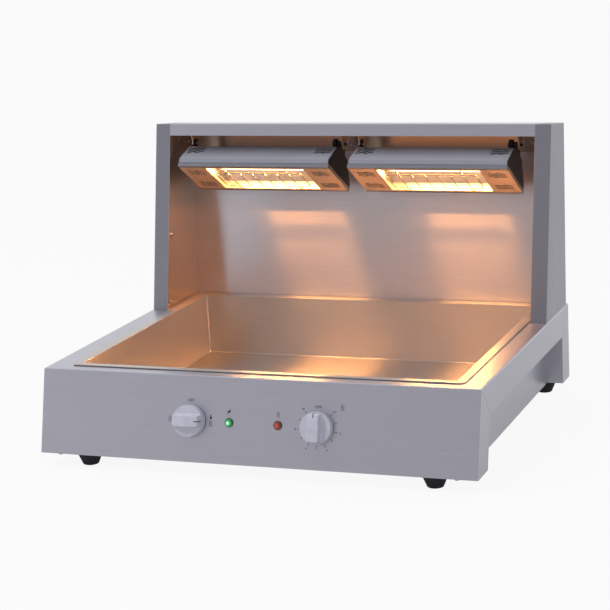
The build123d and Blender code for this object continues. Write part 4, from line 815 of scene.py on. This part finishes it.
class WARMER_OT_stage(bpy.types.Operator):
    """Sets the floor, the studio and lamp light and the camera."""
    bl_idname = "warmer.stage"
    bl_label = "Set the Stage"

    # The floor lies just under the feet and shows this share of plain white: to the eye, and in metal.
    FLOOR_DROP = 0.2 * MM
    WHITE_SEEN = 0.92
    WHITE_IN_METAL = 0.3
    # Bands of the room by direction: axis, where a band starts and ends, its level before and after it.
    ROOM = {
        "wall": ("Z", 0.08, 0.26, 0.26, 0.58),
        "upper_wall": ("Z", 0.40, 0.65, 1.0, 0.6),
        "ceiling": ("Z", 0.75, 0.95, 0.0, 0.5),
        "left": ("X", -0.2, -0.6, 0.0, 0.2),
        "backdrop": ("Y", -0.25, 0.45, 0.0, 1.0),
    }
    ROOM_TINT = (0.99, 0.98, 1.06)
    BACKDROP_TINT = (0.95, 0.95, 0.97, 1.0)
    # Soft boxes: place and side in metres, power in watts. Both point at one spot on the object.
    SOFTBOXES = {
        "key_softbox": ((-1.6, -1.6, 2.4), 1.0, 46.0),
        "fill_softbox": ((2.2, -0.6, 1.6), 1.4, 8.0),
    }
    SPOT = Vector((0, 0, 0.2))
    # The windows look down and this far forward. Their light starts this far under the tube.
    WINDOW_ANGLE = math.radians(30)
    UNDER_TUBE = 8 * MM
    WINDOW_LIGHT = (0.150, 0.010)
    # The light from a head's vents lies over its rear edge and shines up and back.
    LEAK_LIGHT = (0.230, 0.030)
    LEAK_IN = 10 * MM
    LEAK_UP = 3 * MM
    LEAK_WAY = Vector((0, 0.6, 0.8))
    VIEW_END = 200.0

    def execute(self, context):
        p = context.scene.warmer_stage
        context.scene.view_settings.view_transform = "Standard"
        self.floor(context, p)
        self.world(context)
        self.studio(context)
        self.heat_light(context, p)
        self.camera(context, p)
        return {"FINISHED"}

    def floor(self, context, p):
        """A wide pale floor that shows white and keeps a soft shadow."""
        bpy.ops.object.select_all(action="DESELECT")
        bpy.ops.mesh.primitive_plane_add(size=p.floor_size, location=(0, 0, -self.FLOOR_DROP))
        floor = context.object
        floor.name = "studio_floor"
        material, tree = new_material("pale_floor")
        path = add_node(tree, "ShaderNodeLightPath").outputs
        seen = add_node(tree, "ShaderNodeMath", {0: path["Is Camera Ray"], 1: path["Is Transmission Ray"]},
                        operation="MAXIMUM").outputs[0]
        seen = add_node(tree, "ShaderNodeMath", {0: seen, 1: self.WHITE_SEEN},
                        operation="MULTIPLY").outputs[0]
        glossy = add_node(tree, "ShaderNodeMath", {0: path["Is Glossy Ray"], 1: self.WHITE_IN_METAL},
                          operation="MULTIPLY").outputs[0]
        share = add_node(tree, "ShaderNodeMath", {0: seen, 1: glossy}, operation="MAXIMUM").outputs[0]
        matt = add_node(tree, "ShaderNodeBsdfDiffuse", {"Color": linear("#BCBCBC")}).outputs[0]
        white = add_node(tree, "ShaderNodeEmission", {"Color": WHITE, "Strength": 1.0}).outputs[0]
        finish_material(tree, add_node(tree, "ShaderNodeMixShader", {0: share, 1: matt, 2: white}))
        floor.data.materials.append(material)

    def world(self, context):
        """White backdrop behind, a dimmer room in front with a paler ceiling and left side."""
        world = bpy.data.worlds.new("studio_world")
        context.scene.world = world
        world.use_nodes = True
        tree = world.node_tree
        tree.nodes.clear()
        way = add_node(tree, "ShaderNodeTexCoord").outputs["Generated"]
        parts = add_node(tree, "ShaderNodeSeparateXYZ", {0: way}).outputs
        room = {}
        for name, (axis, start, end, before, after) in self.ROOM.items():
            room[name] = add_node(tree, "ShaderNodeMapRange", {
                "Value": parts[axis], 1: start, 2: end, 3: before, 4: after},
                interpolation_type="SMOOTHSTEP").outputs[0]
        level = add_node(tree, "ShaderNodeMath", {
            0: room["wall"], 1: room["upper_wall"], 2: room["ceiling"]}, operation="MULTIPLY_ADD").outputs[0]
        level = add_node(tree, "ShaderNodeMath", {0: level, 1: room["left"]}, operation="ADD").outputs[0]
        grey = add_node(tree, "ShaderNodeVectorMath", {0: self.ROOM_TINT, "Scale": level},
                        operation="SCALE").outputs[0]
        around = add_node(tree, "ShaderNodeMix", {
            "Factor": room["backdrop"], 6: grey, 7: self.BACKDROP_TINT}, data_type="RGBA").outputs[2]
        path = add_node(tree, "ShaderNodeLightPath").outputs
        seen = add_node(tree, "ShaderNodeMath", {0: path["Is Camera Ray"], 1: path["Is Transmission Ray"]},
                        operation="MAXIMUM").outputs[0]
        shown = add_node(tree, "ShaderNodeMix", {"Factor": seen, 6: around, 7: WHITE},
                         data_type="RGBA").outputs[2]
        light = add_node(tree, "ShaderNodeBackground", {"Color": shown, "Strength": 1.0})
        add_node(tree, "ShaderNodeOutputWorld", {"Surface": light.outputs[0]})

    def area_light(self, context, name, place, way, size, power):
        """A rectangular lamp at a place, shining one way."""
        light = bpy.data.lights.new(name, "AREA")
        light.shape = "RECTANGLE"
        light.size, light.size_y = size
        light.energy = power
        lamp = bpy.data.objects.new(name, light)
        context.scene.collection.objects.link(lamp)
        lamp.location = place
        lamp.rotation_euler = way.to_track_quat("-Z", "Y").to_euler()
        return lamp

    def studio(self, context):
        """One large soft box above the front left, a weaker one at the right, both kept out of the metal."""
        for name, (place, side, power) in self.SOFTBOXES.items():
            lamp = self.area_light(context, name, place, self.SPOT - Vector(place), (side, side), power)
            lamp.visible_glossy = False

    def heat_light(self, context, p):
        """Warm light out of each lamp head's window, and a little from the vents at its rear."""
        way = Vector((0, -math.sin(self.WINDOW_ANGLE), -math.cos(self.WINDOW_ANGLE)))
        for side in SIDES:
            low, high = (Vector(corner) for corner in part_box(f"lamp_{side}_tube"))
            place = (low + high) / 2 + way * self.UNDER_TUBE
            window = self.area_light(context, f"heat_light_{side}", place, way,
                                     self.WINDOW_LIGHT, p.lamp_power)
            low, high = (Vector(corner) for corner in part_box(f"lamp_{side}_housing"))
            place = ((low.x + high.x) / 2, high.y - self.LEAK_IN, high.z + self.LEAK_UP)
            power = p.leak_power * (p.leak_more if side == "right" else 1.0)
            leak = self.area_light(context, f"leak_light_{side}", place, self.LEAK_WAY,
                                   self.LEAK_LIGHT, power)
            for lamp in (window, leak):
                lamp.data.color = p.lamp_colour
                lamp.visible_camera = False

    def camera(self, context, p):
        """Camera at the photograph's viewing angle."""
        level = Vector((math.cos(p.yaw), math.sin(p.yaw), 0))
        ahead = Vector((-math.sin(p.yaw), math.cos(p.yaw), 0)) * math.cos(p.pitch)
        ahead.z = -math.sin(p.pitch)
        down = ahead.cross(level)
        right = level * math.cos(p.roll) + down * math.sin(p.roll)
        lower = -level * math.sin(p.roll) + down * math.cos(p.roll)
        camera = bpy.data.objects.new("camera", bpy.data.cameras.new("camera"))
        camera.data.lens = p.lens
        camera.data.sensor_width = p.sensor
        camera.data.clip_end = self.VIEW_END
        turn = Matrix((right, -lower, -ahead)).transposed().to_4x4()
        camera.matrix_world = Matrix.Translation(Vector(p.eye)) @ turn
        context.scene.collection.objects.link(camera)
        context.scene.camera = camera


class WARMER_PT_panel(bpy.types.Panel):
    """Lists the warmer's finishing steps and their settings."""
    bl_idname = "WARMER_PT_panel"
    bl_label = "Fry Warmer"
    bl_space_type = "VIEW_3D"
    bl_region_type = "UI"
    bl_category = "Fry Warmer"

    def draw(self, context):
        for operator in OPERATORS:
            self.layout.operator(operator.bl_idname)
        for name, group in SETTINGS.items():
            box = self.layout.box()
            for key in group.__annotations__:
                box.prop(getattr(context.scene, name), key)


SETTINGS = {"warmer_sheet": WarmerSheetSettings, "warmer_print": WarmerPrintSettings,
            "warmer_coil": WarmerCoilSettings, "warmer_stage": WarmerStageSettings}
OPERATORS = (WARMER_OT_sheet_finish, WARMER_OT_lamp_finish, WARMER_OT_lamp_coils, WARMER_OT_control_finish,
             WARMER_OT_inside_finish, WARMER_OT_dial_print, WARMER_OT_selector_print, WARMER_OT_stage)


def register():
    """Registers the settings, operators and panel."""
    for name, group in SETTINGS.items():
        bpy.utils.register_class(group)
        setattr(bpy.types.Scene, name, PointerProperty(type=group))
    for operator in OPERATORS:
        bpy.utils.register_class(operator)
    bpy.utils.register_class(WARMER_PT_panel)


def unregister():
    """Takes the panel, operators and settings away again."""
    bpy.utils.unregister_class(WARMER_PT_panel)
    for operator in reversed(OPERATORS):
        bpy.utils.unregister_class(operator)
    for name, group in reversed(SETTINGS.items()):
        delattr(bpy.types.Scene, name)
        bpy.utils.unregister_class(group)


def main():
    """Runs every step in order."""
    register()
    for operator in OPERATORS:
        family, step = operator.bl_idname.split(".")
        getattr(getattr(bpy.ops, family), step)()


if __name__ == "__main__":
    main()
